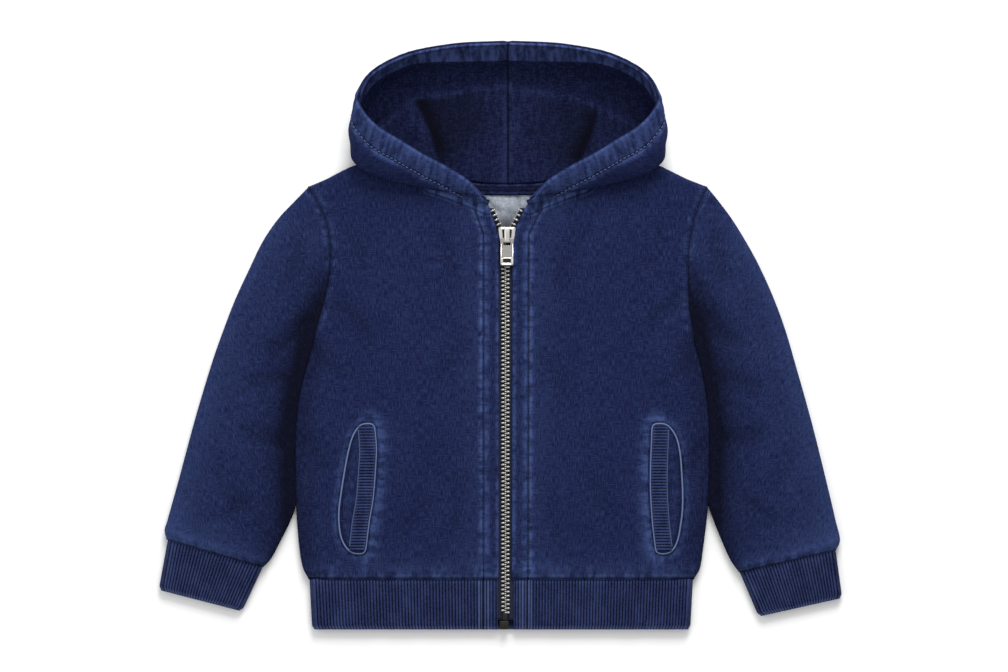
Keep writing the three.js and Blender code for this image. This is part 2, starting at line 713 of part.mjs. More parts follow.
// Outline with rounded corners
function roundedShape(points, radius) {
  const shape = new THREE.Shape();
  points.forEach((point, k) => {
    const here = new THREE.Vector2(...point);
    const before = new THREE.Vector2(...points[(k + points.length - 1) % points.length]);
    const after = new THREE.Vector2(...points[(k + 1) % points.length]);
    const start = here.clone().add(before.sub(here).setLength(radius));
    const end = here.clone().add(after.sub(here).setLength(radius));
    if (k === 0) {
      shape.moveTo(start.x, start.y);
    } else {
      shape.lineTo(start.x, start.y);
    }
    shape.quadraticCurveTo(here.x, here.y, end.x, end.y);
  });
  shape.closePath();
  return shape;
}

// Plate of a given outline
function plate(shape, bottomZ, thickness) {
  const geometry = new THREE.ExtrudeGeometry(shape, { depth: thickness, bevelEnabled: false, curveSegments: 4 });
  return geometry.translate(0, 0, bottomZ);
}

// Corners of one of the slider's two plates
function sliderOutline() {
  const { topY, bottomY, topWidth, bottomWidth } = SLIDER;
  return [
    [SLIDER_X - bottomWidth / 2, bottomY],
    [SLIDER_X + bottomWidth / 2, bottomY],
    [SLIDER_X + topWidth / 2, topY],
    [SLIDER_X - topWidth / 2, topY],
  ];
}

// Closed geometry as a solid that can be joined
function solidOf(geometry) {
  const keys = new Map();
  const vertices = [];
  const triangles = [];
  const position = (geometry.index ? geometry.toNonIndexed() : geometry).getAttribute("position");
  for (let i = 0; i < position.count; i += 1) {
    const point = [position.getX(i), position.getY(i), position.getZ(i)];
    const key = point.map((value) => value.toFixed(4)).join(" ");
    if (!keys.has(key)) {
      keys.set(key, keys.size);
      vertices.push(...point);
    }
    triangles.push(keys.get(key));
  }
  const mesh = new wasm.Mesh({
    numProp: 3,
    vertProperties: new Float32Array(vertices),
    triVerts: new Uint32Array(triangles),
  });
  return new wasm.Manifold(mesh);
}

// One geometry from several closed ones that meet or overlap
function joined(geometries) {
  const solid = geometries.map(solidOf).reduce((sum, next) => sum.add(next));
  const mesh = solid.getMesh();
  return facingOut(Array.from(mesh.vertProperties), Array.from(mesh.triVerts));
}

// Depth by which the blocks of the slider run into each other
const MELT = 0.3;

// Slider: two plates on a post, with a bail on top for the pull tab
function sliderGeometry() {
  const { upperZ, lowerZ, plate: thickness } = SLIDER;
  const outline = roundedShape(sliderOutline(), 2.2);
  const top = upperZ + thickness;
  const left = SLIDER_X - BAIL.halfWidth;
  const right = SLIDER_X + BAIL.halfWidth;
  return joined([
    plate(outline, upperZ, thickness),
    plate(outline, lowerZ, thickness - 0.1),
    block([SLIDER_X - POST.halfWidth, POST.fromY, lowerZ + 0.2], [SLIDER_X + POST.halfWidth, POST.toY, top - 0.2]),
    block([left, BAIL.frontY, top - MELT], [right, BAIL.frontY + BAIL.foot, BAIL.hollowZ + MELT]),
    block([left, BAIL.backY - BAIL.foot, top - MELT], [right, BAIL.backY, BAIL.hollowZ + MELT]),
    block([left, BAIL.frontY, BAIL.hollowZ], [right, BAIL.backY, BAIL.topZ]),
  ]);
}

// Pull tab: a plate with an eye round the bail
function pullTabGeometry() {
  const back = HINGE.y + TAB.thickness / 2;
  const rectangle = (halfWidth, fromY, toY) => [
    [SLIDER_X - halfWidth, fromY],
    [SLIDER_X + halfWidth, fromY],
    [SLIDER_X + halfWidth, toY],
    [SLIDER_X - halfWidth, toY],
  ];
  const outline = roundedShape(rectangle(TAB.halfWidth, TAB.endY, back), TAB.corner);
  const eye = roundedShape(rectangle(TAB.eyeHalfWidth, TAB.eyeEndY, HINGE.y - TAB.thickness / 2), 0.6);
  outline.holes.push(eye);
  return plate(outline, HINGE.z - TAB.thickness / 2, TAB.thickness);
}

// The whole hoodie
const hoodie = new THREE.Group();

// Adds one named piece with its own finish
function add(name, geometry, colour, roughness, metalness) {
  const material = new THREE.MeshStandardMaterial({ color: colour, roughness, metalness, side: THREE.FrontSide });
  const mesh = new THREE.Mesh(geometry, material);
  mesh.name = name;
  hoodie.add(mesh);
}

// Middles towards which the inner faces are drawn in
const above = [0, 0, 1000];
const below = [0, 0, -1000];
const ELBOW_X = 230;
const ELBOW_Y = 0;
const WRIST_X = 255;
const WRIST_Y = -155;
const bowl = [HOOD_CENTRE_X, 240, 28];
const back = backGrid();
const backInside = kept(inset(back, FLEECE, above, false), 0, SIDE_FOLD - SEAM_GAP / 2);
add("back", wall(back, backInside, false), INDIGO, 0.9, 0);
add("neck_tape", neckTapeGeometry(), INDIGO_LINING, 0.9, 0);

for (const side of ["left", "right"]) {
  const front = frontGrid(side);
  const frontInside = kept(inset(front, FLEECE, below, false), SIDE_FOLD + SEAM_GAP / 2, LAID_HEIGHT);
  add(`front_${side}`, wall(front, frontInside, false), INDIGO, 0.9, 0);

  const sleeve = sleeveGrid(side);
  const elbow = [sideSign[side] * ELBOW_X, ELBOW_Y, SIDE_FOLD];
  add(`sleeve_${side}`, wall(sleeve, inset(sleeve, FLEECE, elbow, true), true), INDIGO, 0.9, 0);

  const plainCuff = cuffGrid(side, false);
  const wrist = [sideSign[side] * WRIST_X, WRIST_Y, CUFF_HEIGHT / 2];
  add(`cuff_${side}`, wall(cuffGrid(side, true), inset(plainCuff, RIB_KNIT, wrist, true), true), INDIGO_RIB, 0.95, 0);

  add(`pocket_facing_${side}`, facingGeometry(side), INDIGO, 0.9, 0);
  add(`pocket_welt_${side}`, weltGeometry(side), INDIGO_RIB, 0.95, 0);
  add(`zip_tape_${side}`, zipTapeGeometry(side), NAVY_TAPE, 0.9, 0);
  add(`zip_row_${side}`, teethRowGeometry(side), NICKEL, 0.35, 1);
}

const bandMiddle = [0, (HEM_SEAM_Y + HEM_END_Y) / 2, BAND_HEIGHT / 2];
add("waistband", wall(bandGrid(true), inset(bandGrid(false), RIB_KNIT, bandMiddle, false), false), INDIGO_RIB, 0.95, 0);

const hood = hoodGrid();
const layers = [0, HOOD_FLEECE, HOOD_FLEECE + SEAM_GAP, HOOD_FLEECE + SEAM_GAP + JERSEY].map((depth) =>
  (depth === 0 ? hood : inset(hood, depth, bowl, false)).slice(0, -1),
);
add("hood_left", wall(layers[0], layers[1], false), INDIGO, 0.9, 0);
add("hood_right", wall(mirrored(layers[0]), mirrored(layers[1]), false), INDIGO, 0.9, 0);
add("hood_lining_left", wall(layers[2], layers[3], false), INDIGO_LINING, 0.95, 0);
add("hood_lining_right", wall(mirrored(layers[2]), mirrored(layers[3]), false), INDIGO_LINING, 0.95, 0);

const chain = block([-CHAIN.halfWidth, CHAIN.fromY, CHAIN.bottomZ], [CHAIN.halfWidth, CHAIN.toY, CHAIN.topZ]);
add("zip_chain", chain, NICKEL, 0.35, 1);
add("zip_box", block([BOX.left, BOX.fromY, BOX.bottomZ], [BOX.right, BOX.toY, BOX.topZ]), NICKEL, 0.35, 1);
add("zip_slider", sliderGeometry(), NICKEL, 0.3, 1);
add("zip_pull_tab", pullTabGeometry(), NICKEL, 0.3, 1);

export default hoodie;
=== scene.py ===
"""Dresses a toddler's zip hoodie, laid flat on its back, round the frame of its CAD solids.

Places on the cloth are worked out in millimetres, in the frame of the solids: X to the right as seen from above,
Y towards the hood and Z up off the surface. Meshes are made in metres.
"""

import logging
import math
from dataclasses import dataclass, field
from enum import Enum
from typing import Any, Sequence

import bpy
import numpy as np
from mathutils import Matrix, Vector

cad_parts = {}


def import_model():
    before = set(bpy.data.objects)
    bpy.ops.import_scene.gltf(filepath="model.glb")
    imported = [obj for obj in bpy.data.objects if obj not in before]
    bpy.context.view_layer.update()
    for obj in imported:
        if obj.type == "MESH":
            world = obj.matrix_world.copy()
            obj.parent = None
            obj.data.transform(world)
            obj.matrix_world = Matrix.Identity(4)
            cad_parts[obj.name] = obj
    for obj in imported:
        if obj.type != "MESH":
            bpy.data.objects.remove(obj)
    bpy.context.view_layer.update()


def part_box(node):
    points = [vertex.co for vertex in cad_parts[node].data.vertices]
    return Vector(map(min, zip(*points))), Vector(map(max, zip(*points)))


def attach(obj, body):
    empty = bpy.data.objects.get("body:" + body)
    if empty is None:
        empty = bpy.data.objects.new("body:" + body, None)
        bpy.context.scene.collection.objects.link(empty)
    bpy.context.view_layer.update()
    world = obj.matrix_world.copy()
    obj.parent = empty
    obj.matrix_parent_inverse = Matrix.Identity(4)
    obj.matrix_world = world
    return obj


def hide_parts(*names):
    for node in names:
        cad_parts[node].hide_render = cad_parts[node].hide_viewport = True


log = logging.getLogger("hoodie")

MM = 0.001
REACH = 40.0  # a seam is felt in the cloth as far as this

# Thicknesses of the cloth
FLEECE = 2.4
RIB_KNIT = 2.0
HOOD_FLEECE = 2.2
JERSEY = 1.8
TAPE_CLOTH = 1.0

# How the layers lie
LAID_HEIGHT = 8.6
SIDE_FOLD = LAID_HEIGHT / 2
SEAM_GAP = 0.3
EDGE_GAP = 0.5

# Heights along the garment
HEM_SEAM_Y = -153.0
HEM_END_Y = -197.0
UNDERARM_Y = 50.0
FOLD_FADE = 14.0
SHOULDER_TIP_Y = 183.0
SLEEVE_LEAVES_BODY_Y = -88.0
CENTRE_X = 2.6

# Tables of the outline: height, then how far out on the left and on the right
BODY_EDGE = np.array([
    [-153, 168.5, 162], [-146, 173, 167], [-129, 176.5, 170], [-90, 179.5, 174.5], [-50, 180.5, 175.5],
    [-17, 179.5, 175.5], [9, 176, 172.5], [26, 171.5, 169], [50, 165.5, 163.5], [77, 157.5, 158.5],
    [105, 151.5, 157.5], [129, 150.5, 158], [154, 154.5, 162.5], [170, 161.5, 168], [183, 169.5, 174],
])
SHOULDER = np.array([[183, 169.5, 174], [190, 153, 156], [197, 140, 142], [202, 129, 132], [208, 77.5, 82]])
FRONT_NECK = np.array([[186, 63, 68], [181, 47.5, 52.5], [174, 30, 35], [167.5, 15, 20.5]])
BACK_NECK = np.array([[197.5, 69, 73.5], [189, 47.5, 52.5], [184.5, 21.5, 26.5]])
NAPE = (CENTRE_X, 184.0)
ZIP_EDGE = np.array([[-153, 6.3, 7.5], [142, 6.3, 8.2], [167.5, 15, 20.5]])
TAPE_EDGE = np.array([[-189, 0.3, 0.3], [137, 0.3, 0.3], [143, 2.2, 4.2], [150, 3.6, 5.8], [165, 10, 13]])


class Side(Enum):
    """The half of the garment, as seen from above with the hood away from the viewer."""

    LEFT = "left"
    RIGHT = "right"

    @property
    def sign(self) -> int:
        """Direction of this side along X."""
        return -1 if self is Side.LEFT else 1

    @property
    def column(self) -> int:
        """Column of this side in the tables of the outline."""
        return 1 if self is Side.LEFT else 2


# Folds of the sleeves, and corners of the cuffs
SLEEVE_OUTER_FOLD = {
    Side.LEFT: [(-184.5, 167), (-193.5, 157.5), (-207.5, 137.5), (-220, 112), (-232, 86), (-242, 60),
                (-251, 34.5),
                (-266.5, -17), (-280.5, -69), (-290, -103), (-292.5, -112), (-290.8, -120)],
    Side.RIGHT: [(181.5, 173.5), (195, 155.5), (210, 131), (220, 112), (231.5, 86), (241, 60), (248.5, 34.5),
                 (263, -17), (276, -69), (284, -103), (287.8, -121), (284.5, -129)],
}
SLEEVE_INNER_FOLD = {
    Side.LEFT: [(-184, -103), (-192.5, -120.5), (-201.5, -137), (-207.5, -143.5)],
    Side.RIGHT: [(179, -103), (186, -120.5), (194, -138), (201, -148)],
}
CUFF_CORNERS = {
    Side.LEFT: {"outer": (-290, -121), "inner": (-208.5, -144.3),
                "wrist outer": (-297.6, -163), "wrist inner": (-226, -181.5)},
    Side.RIGHT: {"outer": (284.3, -129.8), "inner": (202, -148.7),
                 "wrist outer": (289.8, -170), "wrist inner": (218, -186)},
}

# The left half of the hood, a row for each section from the zip round to the centre seam: the height it rests at,
# then its neck, foot, belly, roll and rim
HOOD_SECTIONS = [
    (9.1, (-14.3, 168, 9.1), (-15, 167.8, 10.2), (-15.8, 168.3, 12), (-16.5, 169.5, 13.6), (-17.2, 172, 14.8)),
    (9.1, (-30, 174.5, 9.1), (-31.5, 173, 10), (-32.7, 173.7, 13.2), (-32.3, 178, 16.6), (-30, 187.5, 18)),
    (9.1, (-47.3, 180.5, 9.1), (-50, 178, 10.2), (-51.5, 179, 14.8), (-51.5, 186, 20), (-49, 200, 21.5)),
    (9.1, (-63, 186, 9.1), (-69, 182.5, 10.4), (-72.3, 182.8, 16.4), (-72.3, 192, 24), (-69.7, 211, 25.5)),
    (9.1, (-72.5, 196, 9.1), (-90, 188.5, 10.6), (-96.5, 188.3, 18.5), (-96.3, 199.5, 27.6),
     (-90.3, 223.5, 28.8)),
    (9.1, (-78, 206.5, 9.3), (-107.5, 198, 10.6), (-117.8, 194.8, 19.4), (-116, 208, 30), (-107.5, 234, 31.2)),
    (4.5, (-82.5, 214, 5), (-114.5, 213.5, 5.6), (-131.3, 207, 17.5), (-127.3, 220, 31), (-119.5, 246, 32.6)),
    (0, (-75, 206.5, 0), (-110, 235.5, 0), (-133, 232, 13), (-131.2, 243.5, 28), (-126.4, 259, 33)),
    (0, (-61, 200, 0), (-96, 257, 0), (-114.5, 267.5, 10.5), (-118.8, 274, 22), (-118.2, 278.5, 32)),
    (0, (-42.5, 191, 0), (-66, 273.5, 0), (-81.7, 288, 9.5), (-87.7, 294, 20), (-88.8, 296.3, 31)),
    (0, (-21.5, 187, 0), (-34.4, 278.6, 0), (-41.3, 294, 9), (-44.7, 301.8, 20), (-46.4, 305.6, 30)),
    (0, (2.4, 186, 0), (2.4, 279.5, 0), (2.4, 296.5, 9), (2.4, 304.3, 19.5), (2.4, 308.3, 29.5)),
]

# Fold inside the hood, where the floor of the lining meets its crown
HOOD_FLOOR_FOLD = [(-112, 232), (-100.6, 241), (-76.5, 262.3), (-52.5, 265), (-26.7, 270), (5.2, 271),
                   (25.8, 269.2),
                   (43, 265), (63.6, 261.4), (78.3, 254.6), (84.3, 251), (107.5, 240.8), (118, 232)]

# Pockets: height, then the facing's edges; and height, then the welt's centre
POCKET_FACING = {
    Side.LEFT: np.array([
        [-21, -124, -112.5], [-30, -130, -110], [-45, -134.3, -108.8], [-65, -138, -109.5],
        [-80, -140.3, -111.3],
        [-96, -142.3, -113.8], [-108, -142, -115.8], [-120, -139.8, -117], [-128, -135, -118],
        [-131, -131, -120],
    ]),
    Side.RIGHT: np.array([
        [-21, 128.5, 139], [-30, 125.5, 146], [-45, 123.4, 149.8], [-65, 123, 151.4], [-80, 123.2, 152.1],
        [-96, 124.2, 151.8], [-108, 125.6, 150.2], [-120, 127, 148], [-128, 129, 144.5], [-131, 131, 141],
    ]),
}
POCKET_WELT = {
    Side.LEFT: np.array([[-22.5, -119.4], [-41, -117.8], [-60, -118.7], [-86, -120.8], [-103, -123.8],
                         [-129, -127]]),
    Side.RIGHT: np.array([[-22.5, 133.7], [-56, 132.4], [-77, 132.3], [-105, 134], [-129, 136.8]]),
}
WELT_WIDTH = 13.0


def mix(start: Any, end: Any, share: Any) -> Any:
    """Value at a share of the way from start to end."""
    return start + (end - start) * share


def ramp(start: float, end: float, value: Any) -> Any:
    """Smooth step from 0 at start to 1 at end."""
    t = np.clip((value - start) / (end - start), 0, 1)
    return t * t * (3 - 2 * t)


def hill(distance: Any, half_width: float) -> Any:
    """Smooth hill, 1 at no distance and 0 from about twice the half width."""
    return np.exp(-((distance / half_width) ** 2))


def smooth_read(places: np.ndarray, values: np.ndarray, at: Any) -> np.ndarray:
    """Smooth reading of a table.

    Args:
        places: The table's places, in either order.
        values: The value at each place.
        at: Where to read it.

    Returns:
        The values there.
    """
    if places[0] > places[-1]:
        places, values = places[::-1], values[::-1]
    at = np.asarray(at, float)
    last = len(places) - 1
    k = np.clip(np.searchsorted(places, at, side="right") - 1, 0, last - 1)
    before, after = np.maximum(k - 1, 0), np.minimum(k + 2, last)
    span = places[k + 1] - places[k]
    t = np.clip((at - places[k]) / span, 0, 1)
    first = (values[k + 1] - values[before]) / (places[k + 1] - places[before]) * span
    second = (values[after] - values[k]) / (places[after] - places[k]) * span
    t2, t3 = t**2, t**3
    return ((2 * t3 - 3 * t2 + 1) * values[k] + (t3 - 2 * t2 + t) * first
            + (3 * t2 - 2 * t3) * values[k + 1] + (t3 - t2) * second)


class Route:
    """Smooth route through points, tight at its bends."""

    LOOKS = 201  # points measured along the route for its length

    def __init__(self, points: Sequence[Sequence[float]]) -> None:
        """Args:
            points: The places the route runs through, [x, y] or [x, y, z].
        """
        flat = np.array([(*p, 0.0)[:3] for p in points], float)
        first, last = 2 * flat[0] - flat[1], 2 * flat[-1] - flat[-2]
        self.points = np.vstack([first, flat, last])
        looks = np.linspace(0, 1, self.LOOKS)
        steps = np.linalg.norm(np.diff(self.at(looks), axis=0), axis=1)
        self._along = np.concatenate([[0], np.cumsum(steps)])
        self._looks = looks

    @property
    def length(self) -> float:
        """Length of the route."""
        return float(self._along[-1])

    def at(self, share: np.ndarray) -> np.ndarray:
        """Points at shares of the way, counted in the given points.

        Args:
            share: The shares.

        Returns:
            One row for each share.
        """
        spans = len(self.points) - 3
        place = np.clip(np.asarray(share, float), 0, 1) * spans
        k = np.minimum(place.astype(int), spans - 1)
        t = (place - k)[:, None]
        p0, p1, p2, p3 = (self.points[k + n] for n in range(4))
        gaps = [np.sum((b - a) ** 2, axis=1, keepdims=True) ** 0.25 for a, b in ((p0, p1), (p1, p2), (p2, p3))]
        g1 = np.where(gaps[1] < 1e-4, 1.0, gaps[1])
        g0 = np.where(gaps[0] < 1e-4, g1, gaps[0])
        g2 = np.where(gaps[2] < 1e-4, g1, gaps[2])
        start = ((p1 - p0) / g0 - (p2 - p0) / (g0 + g1) + (p2 - p1) / g1) * g1
        end = ((p2 - p1) / g1 - (p3 - p1) / (g1 + g2) + (p3 - p2) / g2) * g1
        return (p1 + start * t + (-3 * p1 + 3 * p2 - 2 * start - end) * t**2
                + (2 * p1 - 2 * p2 + start + end) * t**3)

    def spaced(self, share: np.ndarray) -> np.ndarray:
        """Points at shares of the route's length."""
        return self.at(np.interp(np.asarray(share) * self.length, self._along, self._looks))


def stepped(*zones: tuple[float, float]) -> np.ndarray:
    """Places from 0 on in zones, each (where it ends, the step inside it).

    Args:
        zones: The zones in order, each with its end and its step.

    Returns:
        The places, from 0 to the last zone's end.
    """
    places = [np.zeros(1)]
    for end, step in zones:
        start = places[-1][-1]
        count = max(1, round((end - start) / step))
        places.append(np.linspace(start, end, count + 1)[1:])
    return np.concatenate(places)


def grid_normals(points: np.ndarray, closed: bool, inside: Sequence[float]) -> np.ndarray:
    """Unit normals of a grid, all on the side away from a point inside.

    Args:
        points: Grid of points in millimetres.
        closed: Whether its last column meets its first.
        inside: A point on the inner side.

    Returns:
        One normal for each point.
    """
    along = np.empty_like(points)
    along[1:-1] = points[2:] - points[:-2]
    along[0], along[-1] = points[1] - points[0], points[-1] - points[-2]
    if closed:
        across = np.roll(points, -1, axis=1) - np.roll(points, 1, axis=1)
    else:
        across = np.empty_like(points)
        across[:, 1:-1] = points[:, 2:] - points[:, :-2]
        across[:, 0], across[:, -1] = points[:, 1] - points[:, 0], points[:, -1] - points[:, -2]
    normals = np.cross(along, across)
    normals /= np.maximum(np.linalg.norm(normals, axis=2, keepdims=True), 1e-9)
    away = points - np.array(inside, float)
    away /= np.maximum(np.linalg.norm(away, axis=2, keepdims=True), 1e-9)
    return normals if np.sum(normals * away) > 0 else -normals


def to_outline(points: np.ndarray, outline: np.ndarray) -> np.ndarray:
    """Distance of grid points from the nearest of an outline's points, seen from above.

    Args:
        points: Grid of points.
        outline: Points of the outline.

    Returns:
        The distances in millimetres.
    """
    flat = points[..., :2].reshape(-1, 2)
    best = np.full(len(flat), 1e9)
    for start, end in zip(outline[:-1, :2], outline[1:, :2]):
        step = end - start
        t = np.clip(((flat - start) @ step) / max(float(step @ step), 1e-9), 0, 1)
        best = np.minimum(best, np.linalg.norm(flat - start - t[:, None] * step, axis=1))
    return best.reshape(points.shape[:2])


@dataclass(frozen=True)
class Crease:
    """A crease laid in the cloth: a soft trough with a softer ridge beside it."""

    start: tuple[float, float]
    end: tuple[float, float]
    depth: float
    width: float
    bow: float = 0.0
    shade: float = 0.0  # how far the shade beside it reaches

    def depth_at(self, points: np.ndarray) -> np.ndarray:
        """Depth of the crease at grid points seen from above, negative on its ridge.

        Args:
            points: Grid of points.

        Returns:
            The depth at each point.
        """
        across, fade = self.beside(points)
        trough = hill(across, self.width)
        ridge = 0.55 * hill(across - 2.1 * self.width, 1.3 * self.width)
        return self.depth * fade * (trough - ridge)

    def shade_at(self, points: np.ndarray) -> np.ndarray:
        """Shade from 0 to 1 that falls off on one side of the crease.

        Args:
            points: Grid of points.

        Returns:
            The shade at each point.
        """
        if not self.shade:
            return np.zeros(points.shape[:2])
        across, fade = self.beside(points)
        return fade * ramp(-2.0, 2.0, across) * np.exp(-(np.maximum(across, 0) / self.shade) ** 1.5)

    def beside(self, points: np.ndarray) -> tuple[np.ndarray, np.ndarray]:
        """Distance of grid points from the crease, and how much of it is left there.

        Args:
            points: Grid of points.

        Returns:
            The distances, and the shares that are left.
        """
        start, end = np.array(self.start), np.array(self.end)
        step = end - start
        length = float(np.linalg.norm(step))
        step = step / length
        offset = points[..., :2] - start
        along = np.clip((offset @ step) / length, -0.5, 1.5)
        across = offset @ np.array([-step[1], step[0]]) - self.bow * np.sin(math.pi * np.clip(along, 0, 1))
        return across, ramp(-0.18, 0.22, along) * (1 - ramp(0.7, 1.15, along))


def creased(points: np.ndarray, creases: Sequence[Crease]) -> np.ndarray:
    """Sum of the depths of creases at grid points."""
    return sum((crease.depth_at(points) for crease in creases), np.zeros(points.shape[:2]))


def puckers(along: np.ndarray, period: float, phase: float) -> np.ndarray:
    """Uneven puckers between -1 and 1 along a sewn seam."""
    turn = 2 * math.pi * along / period
    return (0.6 * np.sin(turn + phase + 1.3 * np.sin(turn * 0.23 + 2 * phase))
            + 0.4 * np.sin(1.71 * turn + 3 * phase + np.sin(turn * 0.31)))


def body_edge(side: Side, y: Any) -> np.ndarray:
    """Where the edge of the body lies at a height."""
    return side.sign * smooth_read(BODY_EDGE[:, 0], BODY_EDGE[:, side.column], y)


def outline_points(side: Side, *tables: np.ndarray) -> np.ndarray:
    """Points [x, y] of one side's outline, out of tables of it."""
    rows = np.vstack(tables)
    return np.column_stack([side.sign * rows[:, side.column], rows[:, 0]])


def outline_height(points: np.ndarray, x: np.ndarray) -> np.ndarray:
    """Height of an outline of points at x, with its corners eased.

    Args:
        points: Points of the outline.
        x: Places across.

    Returns:
        The height at each place.
    """
    ordered = points[np.argsort(points[:, 0])]
    read = [np.interp(x + shift, ordered[:, 0], ordered[:, 1]) for shift in (-3.0, 0.0, 3.0)]
    return 0.25 * read[0] + 0.5 * read[1] + 0.25 * read[2]


# Cloth as solid pieces


@dataclass
class Cloth:
    """A piece of cloth with two faces, as grids of points in millimetres, and the seams that are near them."""

    name: str
    outer: np.ndarray
    inner: np.ndarray
    closed: bool = False
    marks: dict[str, np.ndarray] = field(default_factory=dict)
    lined: bool = False
    grain: float | None = 0.0  # turn of the weave in degrees, or none where the map follows the surface

    def build(self, material: bpy.types.Material) -> bpy.types.Object:
        """Makes the closed piece, with its map and its marks.

        Args:
            material: Its finish.

        Returns:
            The piece.
        """
        rows, columns = self.outer.shape[:2]
        steps = columns if self.closed else columns - 1
        i, j = (n.ravel() for n in np.meshgrid(np.arange(rows - 1), np.arange(steps), indexing="ij"))
        ends, sides = np.arange(steps), np.arange(rows - 1)
        front = [(i, j, 0), (i, j + 1, 0), (i + 1, j + 1, 0), (i + 1, j, 0)]
        rear = [(i, j, 1), (i + 1, j, 1), (i + 1, j + 1, 1), (i, j + 1, 1)]
        low, high = np.zeros_like(ends), np.full_like(ends, rows - 1)
        first = [(low, ends + 1, 0), (low, ends, 0), (low, ends, 1), (low, ends + 1, 1)]
        last = [(high, ends, 0), (high, ends + 1, 0), (high, ends + 1, 1), (high, ends, 1)]
        groups = [front, rear, first, last]
        if not self.closed:
            near_edge, far_edge = np.zeros_like(sides), np.full_like(sides, columns - 1)
            groups.append([(sides, near_edge, 0), (sides + 1, near_edge, 0),
                           (sides + 1, near_edge, 1), (sides, near_edge, 1)])
            groups.append([(sides + 1, far_edge, 0), (sides, far_edge, 0),
                           (sides, far_edge, 1), (sides + 1, far_edge, 1)])
        corner_row, corner_column, corner_face = (
            np.concatenate([np.stack([np.broadcast_to(c[n], g[0][0].shape) for c in g],
                                     axis=1) for g in groups])
            for n in range(3)
        )
        quads = corner_face * rows * columns + corner_row * columns + corner_column % columns
        points = np.concatenate([self.outer.reshape(-1, 3), self.inner.reshape(-1, 3)]) * MM
        points[:, 2] = np.maximum(points[:, 2], 0)
        a, b, c, d = (points[quads[:, n]] for n in range(4))
        volume = np.sum(a * np.cross(b, c)) + np.sum(a * np.cross(c, d))
        if volume < 0:
            quads, corner_row, corner_column = quads[:, ::-1], corner_row[:, ::-1], corner_column[:, ::-1]
        mesh = mesh_of(self.name, points, quads)
        layer = mesh.uv_layers.new(name="cloth")
        layer.data.foreach_set("uv", self._map(corner_row, corner_column).astype(np.float32).ravel())
        inside = np.repeat([0.0, 0.0 if self.lined else 1.0], rows * columns)
        paint_mark(mesh, "inside", inside)
        for mark, values in self.marks.items():
            paint_mark(mesh, mark, np.tile(np.broadcast_to(values, (rows, columns)).ravel(), 2))
        return piece_of(self.name, mesh, material)

    def _map(self, corner_row: np.ndarray, corner_column: np.ndarray) -> np.ndarray:
        """Places of the corners on the cloth, in metres across and along it.

        Args:
            corner_row: Row of each corner in the grid.
            corner_column: Column of each corner.

        Returns:
            A row [across, along] for each corner.
        """
        grid = np.concatenate([self.outer, self.outer[:, :1]], axis=1) if self.closed else self.outer
        if self.grain is not None:
            turn = math.radians(self.grain)
            x, y = (grid[corner_row, corner_column, n] for n in (0, 1))
            return np.stack([x * math.cos(turn) + y * math.sin(turn), y * math.cos(turn) - x * math.sin(turn)],
                            axis=-1) * MM
        across, along = np.zeros(grid.shape[:2]), np.zeros(grid.shape[:2])
        across[:, 1:] = np.cumsum(np.linalg.norm(np.diff(grid, axis=1), axis=2), axis=1)
        along[1:] = np.cumsum(np.linalg.norm(np.diff(grid, axis=0), axis=2), axis=0)
        return np.stack([across[corner_row, corner_column], along[corner_row, corner_column]], axis=-1) * MM


def mesh_of(name: str, points: np.ndarray, faces: np.ndarray) -> bpy.types.Mesh:
    """Smooth mesh from points in metres and faces of one size.

    Args:
        name: Name of the mesh.
        points: Its points.
        faces: Its faces, as rows of point numbers.

    Returns:
        The mesh.
    """
    mesh = bpy.data.meshes.new(name)
    mesh.from_pydata(points.tolist(), [], faces.tolist())
    mesh.polygons.foreach_set("use_smooth", np.ones(len(mesh.polygons), bool))
    mesh.update()
    return mesh


def paint_mark(mesh: bpy.types.Mesh, name: str, values: np.ndarray) -> None:
    """Keeps one number for each point of a mesh."""
    layer = mesh.attributes.new(name, "FLOAT", "POINT")
    layer.data.foreach_set("value", values.astype(np.float32))


def piece_of(name: str, mesh: bpy.types.Mesh, material: bpy.types.Material) -> bpy.types.Object:
    """Object at the origin that shows a mesh in one finish.

    Args:
        name: Name of the object.
        mesh: Its mesh.
        material: Its finish.

    Returns:
        The object.
    """
    mesh.materials.clear()
    mesh.materials.append(material)
    piece = bpy.data.objects.new(name, mesh)
    bpy.context.scene.collection.objects.link(piece)
    return piece


def clamped(points: np.ndarray, lowest: float, highest: float) -> np.ndarray:
    """Grid kept between two heights.

    Args:
        points: Grid of points.
        lowest: Lowest height.
        highest: Greatest height.

    Returns:
        The clamped grid.
    """
    held = points.copy()
    held[..., 2] = np.clip(held[..., 2], lowest, highest)
    return held


